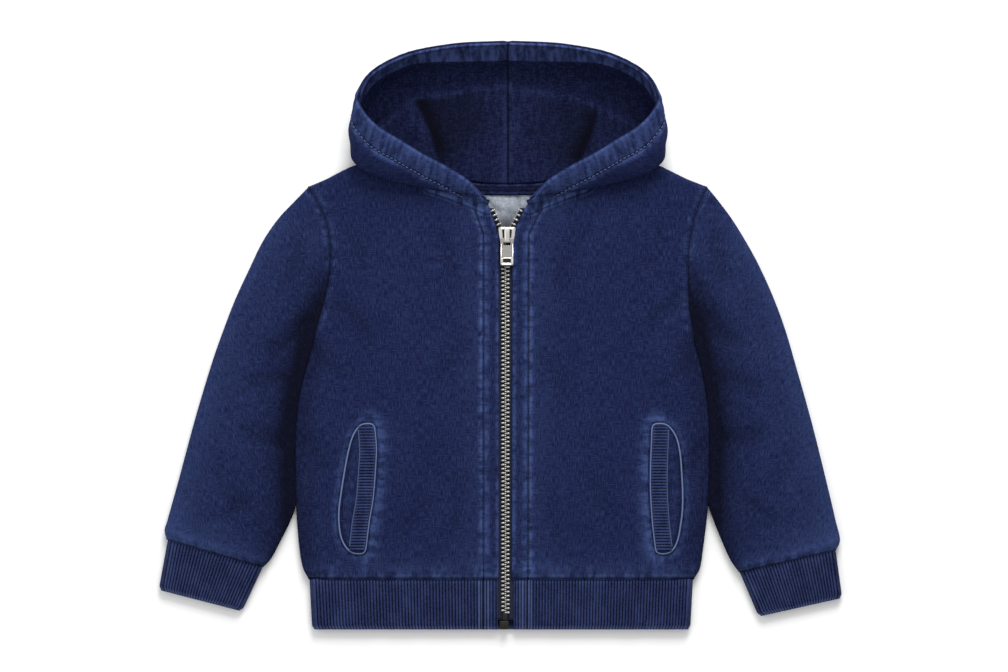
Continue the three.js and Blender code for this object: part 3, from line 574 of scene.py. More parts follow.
def tube(name: str, path: np.ndarray, radius: float, sides: int, material: bpy.types.Material,
         closed: bool = False) -> bpy.types.Object:
    """Round cord along a path.

    Args:
        name: The piece's name.
        path: Points along its middle, in millimetres.
        radius: Its radius.
        sides: Faces round it.
        material: Its finish.
        closed: Whether its end meets its start.

    Returns:
        The piece.
    """
    if closed:
        ahead = np.roll(path, -1, axis=0) - np.roll(path, 1, axis=0)
    else:
        ahead = np.gradient(path, axis=0)
    ahead /= np.linalg.norm(ahead, axis=1, keepdims=True)
    level = np.cross(ahead, [0.0, 0.0, 1.0])
    level /= np.maximum(np.linalg.norm(level, axis=1, keepdims=True), 1e-9)
    upright = np.cross(level, ahead)
    angles = np.linspace(0, 2 * math.pi, sides, endpoint=False)
    rings = path[:, None] + radius * (np.cos(angles)[None, :, None] * level[:, None]
                                      + np.sin(angles)[None, :, None] * upright[:, None])
    count = len(path)
    faces = []
    for i in range(count if closed else count - 1):
        for j in range(sides):
            k, m = (j + 1) % sides, (i + 1) % count
            faces.append((i * sides + j, i * sides + k, m * sides + k, m * sides + j))
    points = rings.reshape(-1, 3)
    if not closed:
        for end, order in ((0, 1), (count - 1, -1)):
            centre = len(points)
            points = np.vstack([points, path[end]])
            for j in range(sides):
                pair = (end * sides + (j + 1) % sides, end * sides + j)[::order]
                faces.append((pair[0], pair[1], centre))
    mesh = bpy.data.meshes.new(name)
    mesh.from_pydata((points * MM).tolist(), [], faces)
    outward = mesh_volume(mesh)
    if outward < 0:
        mesh.flip_normals()
    mesh.polygons.foreach_set("use_smooth", np.ones(len(mesh.polygons), bool))
    return piece_of(name, mesh, material)


def mesh_volume(mesh: bpy.types.Mesh) -> float:
    """Volume inside a closed mesh, negative where its faces point inwards.

    Args:
        mesh: The mesh.

    Returns:
        The volume.
    """
    mesh.calc_loop_triangles()
    points = np.empty(len(mesh.vertices) * 3)
    mesh.vertices.foreach_get("co", points)
    points = points.reshape(-1, 3)
    corners = np.empty(len(mesh.loop_triangles) * 3, int)
    mesh.loop_triangles.foreach_get("vertices", corners)
    a, b, c = points[corners.reshape(-1, 3)].transpose(1, 0, 2)
    return float(np.sum(a * np.cross(b, c)) / 6)


def slab(name: str, outline: np.ndarray, base: float, height: float, crown: float, bevel: float,
         material: bpy.types.Material) -> bpy.types.Object:
    """Flat plate of an outline with a crowned top and rounded edges.

    Args:
        name: The piece's name.
        outline: Points [x, y] round it.
        base: Height of its underside.
        height: Its thickness at the edge.
        crown: How much higher its middle is.
        bevel: Radius of its top edge.
        material: Its finish.

    Returns:
        The piece.
    """
    centre = outline.mean(axis=0)
    rings = [(1.0, base), (1.0, base + height - bevel)]
    reach = float(np.linalg.norm(outline - centre, axis=1).mean())
    for angle in (0.4, 0.8, 1.2, math.pi / 2):
        rings.append((1 - bevel * (1 - math.cos(angle)) / reach,
                      base + height - bevel + bevel * math.sin(angle)))
    for share in (0.75, 0.5, 0.25):
        rings.append((share * rings[5][0], base + height + crown * (1 - share**2)))
    points = [[*(centre + (point - centre) * share), z] for share, z in rings for point in outline]
    count = len(outline)
    faces = [(r * count + j, r * count + (j + 1) % count, (r + 1) * count + (j + 1) % count,
              (r + 1) * count + j)
             for r in range(len(rings) - 1) for j in range(count)]
    points += [[*centre, base + height + crown], [*centre, base]]
    top, bottom, last = len(points) - 2, len(points) - 1, (len(rings) - 1) * count
    faces += [(last + j, last + (j + 1) % count, top) for j in range(count)]
    faces += [((j + 1) % count, j, bottom) for j in range(count)]
    mesh = bpy.data.meshes.new(name)
    mesh.from_pydata((np.array(points) * MM).tolist(), [], faces)
    if mesh_volume(mesh) < 0:
        mesh.flip_normals()
    mesh.polygons.foreach_set("use_smooth", np.ones(len(mesh.polygons), bool))
    return piece_of(name, mesh, material)


# Finishes


class Value:
    """A shader's socket that can be used in sums."""

    def __init__(self, shader: "Shader", socket: bpy.types.NodeSocket) -> None:
        """Args:
            shader: The shader the socket is in.
            socket: The socket.
        """
        self.shader = shader
        self.socket = socket

    def _sum(self, operation: str, first: Any, second: Any) -> "Value":
        """One Math node on two values."""
        return self.shader.node("ShaderNodeMath", {"operation": operation}, {0: first, 1: second})

    def __add__(self, other: Any) -> "Value":
        """This value plus another."""
        return self._sum("ADD", self, other)

    __radd__ = __add__

    def __sub__(self, other: Any) -> "Value":
        """This value less another."""
        return self._sum("SUBTRACT", self, other)

    def __rsub__(self, other: Any) -> "Value":
        """Another value less this one."""
        return self._sum("SUBTRACT", other, self)

    def __mul__(self, other: Any) -> "Value":
        """This value times another."""
        return self._sum("MULTIPLY", self, other)

    __rmul__ = __mul__

    def __truediv__(self, other: Any) -> "Value":
        """This value over another."""
        return self._sum("DIVIDE", self, other)

    def __abs__(self) -> "Value":
        """This value without its sign."""
        return self._sum("ABSOLUTE", self, 0.0)


Colour = tuple[float, float, float]


class Shader:
    """A material under construction."""

    def __init__(self, name: str) -> None:
        """Args:
            name: The finish's name.
        """
        self.material = bpy.data.materials.new(name)
        self.material.use_nodes = True
        self.tree = self.material.node_tree
        self.tree.nodes.clear()

    def node(self, kind: str, settings: dict[str, Any] | None = None, inputs: dict[Any, Any] | None = None,
             output: Any = 0) -> Value:
        """Adds one node.

        Args:
            kind: Type of the node.
            settings: Properties set before its sockets are used.
            inputs: Values or links of its sockets, by name or number.
            output: The socket that is given back.

        Returns:
            That socket.
        """
        made = self.tree.nodes.new(kind)
        for name, value in (settings or {}).items():
            setattr(made, name, value)
        for key, value in (inputs or {}).items():
            if isinstance(value, Value):
                self.tree.links.new(value.socket, made.inputs[key])
            else:
                made.inputs[key].default_value = value
        return Value(self, made.outputs[output])

    def mark(self, name: str) -> Value:
        """A number kept at the points of the piece."""
        return self.node("ShaderNodeAttribute", {"attribute_name": name}, output="Fac")

    def place(self) -> Value:
        """Place in the object's own frame."""
        return self.node("ShaderNodeTexCoord", output="Object")

    def cloth(self) -> Value:
        """Place on the cloth."""
        return self.node("ShaderNodeUVMap", {"uv_map": "cloth"})

    def noise(self, vector: Value, scale: Colour, detail: float = 2.0, roughness: float = 0.5) -> Value:
        """Noise between 0 and 1, with its own scale in each direction.

        Args:
            vector: Where it is read.
            scale: Its scale in each direction, per metre.
            detail: How many finer layers it has.
            roughness: How strong these are.

        Returns:
            The noise.
        """
        mapped = self.node("ShaderNodeMapping", inputs={"Vector": vector, "Scale": scale})
        return self.node("ShaderNodeTexNoise", inputs={
            "Vector": mapped, "Scale": 1.0, "Detail": detail, "Roughness": roughness})

    def step(self, value: Value, start: float, end: float, low: float = 0.0, high: float = 1.0) -> Value:
        """Smooth step of a value from low at start to high at end."""
        return self.node("ShaderNodeMapRange", {"interpolation_type": "SMOOTHSTEP", "clamp": True}, {
            "Value": value, "From Min": start, "From Max": end, "To Min": low, "To Max": high})

    def line(self, nearness: Value, distance: float, half_width: float) -> Value:
        """1 on a line at a distance from a seam, falling to 0 beside it."""
        return self.step(abs(nearness - (REACH - distance)), 0.0, half_width, 1.0, 0.0)

    def blend(self, factor: Value, first: Any, second: Any) -> Value:
        """Mix of two colours."""
        given = [c if isinstance(c, Value) else (*c, 1.0) for c in (first, second)]
        return self.node("ShaderNodeMix", {"data_type": "RGBA", "clamp_factor": True}, {
            0: factor, 6: given[0], 7: given[1]}, output=2)

    def bump(self, height: Value, strength: float, distance: float) -> Value:
        """Normal of a relief."""
        return self.node("ShaderNodeBump",
                         inputs={"Strength": strength, "Distance": distance, "Height": height})

    def finish(self, colour: Any, normal: Value | None = None, **constants: float) -> bpy.types.Material:
        """Ends the material in its shader.

        Args:
            colour: Base colour, fixed or worked out.
            normal: Normal of its relief.
            constants: Values of the shader's other sockets, by name with underscores for spaces.

        Returns:
            The material.
        """
        inputs: dict[Any, Any] = {name.replace("_", " "): value for name, value in constants.items()}
        inputs["Base Color"] = colour if isinstance(colour, Value) else (*colour, 1.0)
        if normal is not None:
            inputs["Normal"] = normal
        surface = self.node("ShaderNodeBsdfPrincipled", inputs=inputs)
        self.node_out(surface)
        return self.material

    def node_out(self, surface: Value) -> None:
        """Links the surface to the material's output."""
        end = self.tree.nodes.new("ShaderNodeOutputMaterial")
        self.tree.links.new(surface.socket, end.inputs["Surface"])


@dataclass(frozen=True)
class Fleece:
    """Indigo fleece, washed pale along its seams, with a grey brushed inner face; painted shade darkens it where
    marked dark, and painted highlights pale it in places.
    """

    name: str = "indigo fleece"
    # deep: colour of the painted shade, and of the seam grooves
    deep: Colour = (0.0018, 0.0022, 0.0085)
    dyed: Colour = (0.0062, 0.0096, 0.0430)
    # pale colour of the washed seams, also used for painted highlights
    wear_and_highlight: Colour = (0.0520, 0.0840, 0.2250)
    melange: Colour = (0.275, 0.305, 0.350)
    weave: float = 1.6
    mottle: float = 0.55
    lip: float = 2.0

    def build(self) -> bpy.types.Material:
        """Makes the finish.

        Returns:
            The finish.
        """
        shader = Shader(self.name)
        place, cloth = shader.place(), shader.cloth()
        upright = shader.noise(cloth, (1000.0, 170.0, 1.0), 1.0)
        level = shader.noise(cloth, (170.0, 1000.0, 1.0), 1.0)
        patch = shader.step(shader.noise(cloth, (125.0, 125.0, 1.0), 1.0), 0.36, 0.60)
        cloud = shader.noise(place, (46.0, 34.0, 46.0), 5.0, 0.65)
        gathers = self.gathers(shader, place, cloth)
        seams = [shader.mark("seam_a"), shader.mark("seam_b")]
        groove = sum((shader.line(seam, 0.0, 1.15) for seam in seams[1:]), shader.line(seams[0], 0.0, 1.15))
        lips = sum((self.lips(shader, seam) for seam in seams[1:]), self.lips(shader, seams[0]))
        wash = (shader.mark("wear_and_highlight") * (0.05 + 1.7 * gathers)
                + 0.30 * lips * (0.3 + 1.3 * gathers) * (0.5 + cloud))
        grain = ((upright - 0.5) * (0.35 + patch) + (level - 0.5) * (1.05 - patch)) * self.weave
        # the fade mark brings a washed-out fade on the body and the sleeve ends, and painted highlights on the
        # sleeves' folds and the hood's band
        pale = (0.068 + grain * 0.34 + (cloud - 0.5) * 0.30 * self.mottle + 0.40 * wash
                + 0.30 * shader.mark("fade"))
        # painted shade where marked dark, with the dark seam grooves
        shade_and_grooves = shader.mark("dark") * 0.95 + 0.62 * groove - 0.30 * grain
        colour = shader.blend(pale, self.dyed, self.wear_and_highlight)
        colour = shader.blend(shade_and_grooves, colour, self.deep)
        fibres = shader.noise(cloth, (420.0, 900.0, 1.0), 3.0, 0.7)
        fluff = shader.noise(place, (160.0, 60.0, 160.0), 3.0, 0.6)
        shade = (fibres - 0.5) * 1.7 + (fluff - 0.5) * 1.3
        grey = shader.blend(0.5 + shade, tuple(0.50 * c for c in self.melange),
                            tuple(1.30 * c for c in self.melange))
        # painted shade on the grey inner face where marked dark
        grey = shader.blend(shader.mark("dark"), grey, tuple(0.12 * c for c in self.melange))
        colour = shader.blend(shader.step(shader.mark("inside"), 0.8, 1.0), colour, grey)
        height = 0.35 * (upright + level) + 0.5 * gathers * shader.mark("wear_and_highlight") - 0.7 * groove
        normal = shader.bump(height, 0.55, 0.0007)
        return shader.finish(colour, normal, Roughness=0.96, Specular_IOR_Level=0.08)

    def gathers(self, shader: Shader, place: Value, cloth: Value) -> Value:
        """Marks that the wash leaves across a gathered seam, as the seam runs: up, sideways or with the rim.

        Args:
            shader: The shader.
            place: Place on the piece.
            cloth: Place on the cloth.

        Returns:
            The strength of the marks.
        """
        across = shader.noise(place, (75.0, 190.0, 75.0), 3.0)
        upwards = shader.noise(place, (190.0, 75.0, 75.0), 3.0)
        turn = shader.mark("turn")
        mixed = across * (1.0 - turn) + upwards * turn
        rimward = shader.noise(cloth, (45.0, 190.0, 1.0), 2.0)
        rim = shader.mark("rim")
        mixed = mixed * (1.0 - rim) + rimward * rim
        return shader.step(mixed, 0.34, 0.66)

    def lips(self, shader: Shader, seam: Value) -> Value:
        """Pale lips on both sides of a seam line."""
        return shader.step(abs(abs(seam - REACH) - self.lip), 0.0, 1.5, 1.0, 0.0)


@dataclass(frozen=True)
class Rib:
    """Rib knit, with painted highlight on its crests and painted shade in its valleys, and paler where washed."""

    name: str = "indigo rib"
    # valley: painted shade between the ribs; crest: painted highlight on them
    valley: Colour = (0.0016, 0.0024, 0.0120)
    crest: Colour = (0.0270, 0.0390, 0.1180)
    wear_and_highlight: Colour = (0.0800, 0.1150, 0.2500)

    def build(self) -> bpy.types.Material:
        """Makes the finish.

        Returns:
            The finish.
        """
        shader = Shader(self.name)
        place = shader.place()
        fleck = shader.noise(place, (700.0, 700.0, 700.0), 1.0)
        cloud = shader.noise(place, (120.0, 60.0, 60.0), 3.0)
        crest = shader.mark("crest")
        ridge = shader.step(crest, 0.30, 1.0)
        # painted highlight on the crests and painted shade in the valleys
        colour = shader.blend(0.02 + 0.74 * ridge * (0.45 + 1.1 * cloud) + (fleck - 0.5) * 0.9, self.valley,
                              self.crest)
        pale = shader.mark("wear_and_highlight") * (0.10 + 0.8 * ridge) * (0.4 + cloud) + 0.20 * (cloud - 0.45)
        colour = shader.blend(pale, colour, self.wear_and_highlight)
        colour = shader.blend(0.85 * shader.line(shader.mark("seam_a"), 0.0, 0.9), colour, self.valley)
        grey = tuple(0.6 * c for c in Fleece().melange)
        colour = shader.blend(0.75 * shader.mark("inside"), colour, grey)
        normal = shader.bump(fleck, 0.4, 0.0004)
        return shader.finish(colour, normal, Roughness=0.95, Specular_IOR_Level=0.08)


@dataclass(frozen=True)
class Jersey:
    """Dark indigo jersey inside the hood, washed pale only on its band, with painted shade where marked dark and
    painted light where marked pale.
    """

    name: str = "indigo jersey"
    # deep: colour of the painted shade, and of the seam grooves
    deep: Colour = (0.0016, 0.0019, 0.0062)
    dyed: Colour = (0.0034, 0.0046, 0.0235)
    # pale colour of the washed band, also used for painted light
    wear_and_highlight: Colour = (0.0430, 0.0640, 0.1850)

    def build(self) -> bpy.types.Material:
        """Makes the finish.

        Returns:
            The finish.
        """
        shader = Shader(self.name)
        place = shader.place()
        wales = shader.noise(place, (1000.0, 230.0, 300.0), 1.0)
        courses = shader.noise(place, (230.0, 1000.0, 300.0), 1.0)
        band = shader.step(shader.noise(place, (230.0, 50.0, 60.0), 1.0), 0.30, 0.72)
        groove = shader.line(shader.mark("seam_a"), 0.0, 0.8) + shader.line(shader.mark("seam_b"), 0.0, 0.8)
        grain = (wales + courses - 1.0) * 1.1
        wash = shader.mark("wear_and_highlight") * (0.30 + 1.1 * band)
        colour = shader.blend(0.03 + 0.5 * wash + 0.35 * grain, self.dyed, self.wear_and_highlight)
        # painted shade where marked dark, with the seam grooves
        colour = shader.blend(shader.mark("dark") + 0.7 * groove - 0.3 * grain, colour, self.deep)
        normal = shader.bump(0.4 * (wales + courses) - 0.7 * groove, 0.5, 0.0006)
        return shader.finish(colour, normal, Roughness=0.97, Specular_IOR_Level=0.08)


@dataclass(frozen=True)
class Plain:
    """An even finish with a light fleck."""

    name: str
    colour: Colour
    roughness: float
    fleck: float = 0.0
    metal: float = 0.0
    sheen: float = 0.0

    def build(self) -> bpy.types.Material:
        """Makes the finish.

        Returns:
            The finish.
        """
        shader = Shader(self.name)
        if not self.fleck:
            return shader.finish(self.colour, Roughness=self.roughness, Metallic=self.metal,
                                 Sheen_Weight=self.sheen)
        speck = shader.noise(shader.place(), (1100.0, 1100.0, 1100.0), 2.0)
        low, high = (tuple(max(0.0, c * (1 + sign * self.fleck)) for c in self.colour) for sign in (-1, 1))
        return shader.finish(shader.blend(speck, low, high), shader.bump(speck, 0.35, 0.0003),
                             Roughness=self.roughness, Metallic=self.metal, Sheen_Weight=self.sheen)


NICKEL = Plain("nickel", (0.74, 0.725, 0.69), 0.30, 0.12, 1.0)
# a rougher, darker copy of the nickel: its darkness is painted shade on the teeth, the slider's body and the
# tab's plate
SHADED_MATT_NICKEL = Plain("matt nickel", (0.40, 0.395, 0.375), 0.42, 0.18, 1.0)
# near-black nickel for the bottom stop, also used as painted shade in the slider's grooves and the tab's window
DARK_NICKEL_AND_SHADE = Plain("dark nickel and painted shade", (0.035, 0.033, 0.030), 0.5, 0.3, 1.0)
NAVY_TAPE = Plain("navy tape", (0.0065, 0.0085, 0.0260), 0.92, 0.5, 0.0, 0.05)
DARK_THREAD = Plain("dark thread", (0.0080, 0.0110, 0.0380), 0.8, 0.3)
PALE_THREAD = Plain("pale thread", (0.0480, 0.0700, 0.1700), 0.8, 0.3)
PIPING = Plain("washed piping", (0.1050, 0.1450, 0.2900), 0.9, 0.45)
FLOOR = Plain("pale floor", (0.93, 0.93, 0.93), 0.9)


# Stitches and teeth


@dataclass(frozen=True)
class Repeat:
    """Small blocks repeated along paths: a body, and for a tooth a narrower head in front of it.

    Sizes are in millimetres. The body's length lies along the path.
    """

    name: str
    pitch: float
    body: tuple[float, float, float]
    head: tuple[float, float, float] | None = None
    reach: float = 0.0
    lean: float = 0.0

    INPUTS = (("Pitch", "pitch"), ("Reach", "reach"), ("Lean", "lean"))

    def build(self, paths: Sequence[np.ndarray], material: bpy.types.Material) -> bpy.types.Object:
        """Makes one plain mesh of all the blocks.

        Args:
            paths: Points along each path, in millimetres.
            material: Their finish.

        Returns:
            The piece.
        """
        points, edges = [], []
        for path in paths:
            start = len(points)
            points.extend((path * MM).tolist())
            edges.extend((start + n, start + n + 1) for n in range(len(path) - 1))
        mesh = bpy.data.meshes.new(self.name + " path")
        mesh.from_pydata(points, edges, [])
        guide = bpy.data.objects.new(self.name + " path", mesh)
        bpy.context.scene.collection.objects.link(guide)
        modifier = guide.modifiers.new(self.name, "NODES")
        tree = self._tree(material)
        modifier.node_group = tree
        values = {"Pitch": self.pitch * MM, "Reach": self.reach * MM, "Lean": self.lean,
                  "Body": tuple(c * MM for c in self.body),
                  "Head": tuple(c * MM for c in self.head or (1, 1, 1))}
        for item in tree.interface.items_tree:
            if item.in_out == "INPUT" and item.name in values:
                modifier[item.identifier] = values[item.name]
        guide.update_tag()
        bpy.context.view_layer.update()
        seen = guide.evaluated_get(bpy.context.evaluated_depsgraph_get())
        made = bpy.data.meshes.new_from_object(seen)
        made.name = self.name
        guide.modifiers.clear()
        bpy.data.objects.remove(guide)
        return piece_of(self.name, made, material)

    def _tree(self, material: bpy.types.Material) -> bpy.types.NodeTree:
        """Nodes that repeat the blocks along the paths.

        Args:
            material: Finish of the blocks.

        Returns:
            The node tree.
        """
        tree = bpy.data.node_groups.new(self.name, "GeometryNodeTree")
        face = tree.interface
        face.new_socket("Geometry", in_out="INPUT", socket_type="NodeSocketGeometry")
        face.new_socket("Geometry", in_out="OUTPUT", socket_type="NodeSocketGeometry")
        for name in ("Pitch", "Reach", "Lean"):
            face.new_socket(name, in_out="INPUT", socket_type="NodeSocketFloat")
        for name in ("Body", "Head"):
            face.new_socket(name, in_out="INPUT", socket_type="NodeSocketVector")

        def add(kind: str, inputs: dict[Any, Any] | None = None, **settings: Any) -> bpy.types.Node:
            """Adds one node, with its settings and the values or links of its inputs."""
            node = tree.nodes.new(kind)
            for key, value in settings.items():
                setattr(node, key, value)
            for key, value in (inputs or {}).items():
                if isinstance(value, bpy.types.NodeSocket):
                    tree.links.new(value, node.inputs[key])
                else:
                    node.inputs[key].default_value = value
            return node

        given = add("NodeGroupInput").outputs
        curve = add("GeometryNodeMeshToCurve", {"Mesh": given["Geometry"]}).outputs[0]
        spaced = add("GeometryNodeResampleCurve", {"Curve": curve, "Length": given["Pitch"]},
                     mode="LENGTH").outputs[0]
        tangent = add("GeometryNodeInputTangent").outputs[0]
        headed = add("FunctionNodeAlignEulerToVector", {"Vector": tangent}, axis="Y", pivot_axis="Z").outputs[0]
        turned = add("FunctionNodeAlignEulerToVector", {"Rotation": headed, "Vector": tangent},
                     axis="Y").outputs[0]
        wobble = add("FunctionNodeRandomValue", {2: -1.0, 3: 1.0, "Seed": 7}).outputs[1]
        turn = add("ShaderNodeMath", {0: wobble, 1: given["Lean"]}, operation="MULTIPLY").outputs[0]
        spin = add("ShaderNodeCombineXYZ", {"Z": turn}).outputs[0]
        rotation = add("ShaderNodeVectorMath", {0: turned, 1: spin}, operation="ADD").outputs[0]
        block = add("GeometryNodeMeshCube", {"Size": given["Body"], "Vertices X": 2, "Vertices Y": 2,
                                             "Vertices Z": 2}).outputs[0]
        if self.head:
            head = add("GeometryNodeMeshCube", {"Size": given["Head"]}).outputs[0]
            shift = add("ShaderNodeCombineXYZ", {"X": given["Reach"]}).outputs[0]
            moved = add("GeometryNodeTransform", {"Geometry": head, "Translation": shift}).outputs[0]
            block_all = add("GeometryNodeJoinGeometry")
            tree.links.new(block, block_all.inputs[0])
            tree.links.new(moved, block_all.inputs[0])
            block = block_all.outputs[0]
        rounded = add("GeometryNodeSubdivisionSurface",
                      {"Mesh": block, "Level": 1, "Edge Crease": 0.55}).outputs[0]
        placed = add("GeometryNodeInstanceOnPoints", {"Points": spaced, "Instance": rounded,
                                                      "Rotation": rotation}).outputs[0]
        solid = add("GeometryNodeRealizeInstances", {"Geometry": placed}).outputs[0]
        smooth = add("GeometryNodeSetShadeSmooth", {"Geometry": solid}).outputs[0]
        dressed = add("GeometryNodeSetMaterial", {"Geometry": smooth, "Material": material}).outputs[0]
        add("NodeGroupOutput", {"Geometry": dressed})
        return tree


# The garment


def topstitched(points: np.ndarray) -> np.ndarray:
    """Nearness mark of a seam line from its signed distance."""
    return np.clip(REACH - points, 0, 2 * REACH)


@dataclass
class Body:
    """The back and the two fronts."""

    fleece: bpy.types.Material
    cell: float = 2.1
    fine: float = 1.0
    placket: float = 12.2  # from the front edge to the line of stitches beside the zip
    neck_strip: float = 8.0
    hem_roll: float = 0.9
    overhang: dict[Side, float] = field(default_factory=lambda: {Side.LEFT: 0.8, Side.RIGHT: 1.8})
    stitch_lines: dict[str, list[np.ndarray]] = field(default_factory=dict)

    def shoulder_share(self, side: Side, x: np.ndarray) -> np.ndarray:
        """How much of the shoulder fold is left across the shoulder and neck."""
        neck = SHOULDER[-1, side.column]
        return ramp(neck - 16, neck - 2, side.sign * x)

    def fold_rise(self, y: np.ndarray, side_distance: np.ndarray, top_distance: np.ndarray,
                  shoulder: np.ndarray) -> np.ndarray:
        """Half-round height over the side folds: 1 on the flat and 0 at a folded edge.

        Args:
            y: Height along the garment.
            side_distance: Distance from the side fold.
            top_distance: Distance from the top fold.
            shoulder: How much of the shoulder fold is left.

        Returns:
            The share of the full height at each point.
        """
        side = (1 - ramp(UNDERARM_Y, UNDERARM_Y + FOLD_FADE, y)) * np.maximum(0, 1 - side_distance / SIDE_FOLD)
        top = shoulder * np.maximum(0, 1 - top_distance / SIDE_FOLD)
        return np.sqrt(np.maximum(0, 1 - side**2 - top**2))

    def pocket_outline(self, side: Side) -> np.ndarray:
        """Lens that the piping of a pocket follows, as a closed line of points seen from above.

        Args:
            side: Which pocket.

        Returns:
            Points [x, y] in turn.
        """
        facing, welt = POCKET_FACING[side], POCKET_WELT[side]
        outer_column = 1 if side is Side.LEFT else 2
        top, end = facing[0, 0] + 0.5, facing[-1, 0] - 0.3
        down = np.linspace(top, end, 42)
        outer = smooth_read(facing[:, 0], facing[:, outer_column], down) + side.sign * 0.4
        inner = smooth_read(welt[:, 0], welt[:, 1], down) - side.sign * (WELT_WIDTH / 2 + 0.9)
        outer_line = np.column_stack([outer, down])
        inner_line = np.column_stack([inner, down])[::-1]
        sharp = np.vstack([outer_line, inner_line])
        span = np.linspace(0, 1, 160, endpoint=False)
        whole = np.vstack([sharp, sharp[:1]])
        rounded = Route(whole).spaced(span)[:, :2]
        for _ in range(9):
            rounded = (np.roll(rounded, 1, axis=0) + 2 * rounded + np.roll(rounded, -1, axis=0)) / 4
        return np.vstack([rounded, rounded[:1]])

    def front(self, side: Side, creases: Sequence[Crease]) -> bpy.types.Object:
        """Makes one front.

        Args:
            side: Which front.
            creases: Its creases.

        Returns:
            The piece.
        """
        top = outline_points(side, SHOULDER, FRONT_NECK)
        tip, neck = top[0], top[-1]
        height = SHOULDER_TIP_Y - HEM_SEAM_Y
        width = abs(tip[0] - neck[0])
        across = stepped((SIDE_FOLD, 0.5), (width - 20, self.cell), (width, self.fine)) / width
        up = stepped((18, 1.3), (height - 22, self.cell), (height - SIDE_FOLD, 1.3), (height, 0.6)) / height
        row, column = up[:, None], across[None, :]
        side_y = mix(HEM_SEAM_Y, SHOULDER_TIP_Y, row)
        side_x = body_edge(side, side_y)
        zip_y = mix(HEM_SEAM_Y, neck[1], row)
        zip_x = side.sign * (np.interp(zip_y, ZIP_EDGE[:, 0], ZIP_EDGE[:, side.column]) - self.overhang[side])
        top_x = mix(tip[0], neck[0], column)
        bend = ramp(0.5, 1, row) ** 2 * (outline_height(top, top_x) - mix(tip[1], neck[1], column))
        x = mix(side_x, zip_x, column)
        y = mix(side_y, zip_y, column) + bend
        side_distance, top_distance = np.abs(x - side_x), (1 - row) * height
        rise = self.fold_rise(side_y, side_distance, top_distance, self.shoulder_share(side, top_x))
        outer = np.stack([x, y, SIDE_FOLD + mix(SEAM_GAP / 2, SIDE_FOLD, rise)], axis=2)

        to_zip = np.abs(x - side.sign * np.interp(y, ZIP_EDGE[:, 0], ZIP_EDGE[:, side.column]))
        to_hem = y - HEM_SEAM_Y
        to_neck = to_outline(outer, outline_points(side, SHOULDER[-1:], FRONT_NECK))
        to_arm = np.where(side_y > UNDERARM_Y - 6, side_distance, REACH)
        lens = self.pocket_outline(side)
        to_pocket = to_outline(outer, lens)
        in_pocket = self.inside(lens, outer)
        lift = -creased(outer, creases)
        lift += 0.34 * hill(to_zip - 14, 7) * puckers(y, 9.5, 1.0 + side.column)
        lift += 0.25 * hill(to_zip - 6, 4) * puckers(y, 7.0, 3.0 + side.column)
        lift -= 0.40 * hill(to_zip - self.placket, 1.8)
        lift += 0.30 * hill(to_arm - 6, 5) * puckers(y, 10.5, 2.0) - 0.8 * hill(to_arm, 2.4)
        lift += self.hem_roll * (hill(to_hem - 7, 6) - 1.6 * hill(to_hem, 3.0))
        lift += 0.42 * hill(to_hem - 7, 6) * puckers(x, 11.0, 0.5 + side.column)
        lift += 0.5 * hill(to_pocket - 4, 3.5) * (0.55 + 0.45 * puckers(y, 8.0, side.column)) * ~in_pocket
        neck_face = hill(to_neck - 4, 3.5) * (x * side.sign < 64)
        lift += 0.25 * neck_face * puckers(x, 7.5, 4.0)
        lift -= 0.35 * hill(to_neck - self.neck_strip, 1.3)
        side_slope = (1 - ramp(UNDERARM_Y - 12, UNDERARM_Y + 22, side_y)) * hill(side_distance - 2, 13)
        lift -= 1.15 * side_slope
        flat = np.where(in_pocket, 0.0, 1.0) * np.clip(1 - hill(to_neck, 2.0), 0, 1) * rise
        outer[..., 2] += lift * flat * 0.999
        outer[..., 1] -= 1.4 * hill(to_hem, 2.5)
        normals = grid_normals(outer, False, (0, 0, -1000))
        inner = clamped(outer - FLEECE * normals, SIDE_FOLD + SEAM_GAP / 2, LAID_HEIGHT)
        wear_and_highlight = (0.66 * hill(to_zip - self.placket - 2.2, 2.4) + 0.52 * hill(to_zip - 9.0, 2.0)
                + 0.7 * hill(to_zip, 1.6))
        wear_and_highlight += 0.34 * (1 - ramp(4, 15, to_hem)) + 0.30 * hill(to_hem - 2, 1.5)
        wear_and_highlight += 0.40 * hill(to_arm - 3.5, 2.4) * (side_y > 60)
        wear_and_highlight += 1.15 * (1 - ramp(self.neck_strip - 1, self.neck_strip + 2, to_neck)) * (x * side.sign < 70)
        seam_bit = hill(side_distance - 8.5, 0.9) * ramp(-90, -80, y) * (1 - ramp(-46, -38, y))
        wear_and_highlight += (0.9 if side is Side.LEFT else 0.4) * seam_bit
        toward_zip = side.sign * (x - lens[:, 0].mean()) < 0
        halo = hill(to_pocket - 3.0, np.where(toward_zip, 6.5, 3.0)) * ~in_pocket
        wear_and_highlight += np.where(toward_zip, 0.75, 0.40) * halo
        fade = 0.20 * hill(to_zip - 20, 14) + 0.16 * (1 - ramp(6, 40, to_hem)) + 0.25 * halo + 0 * x
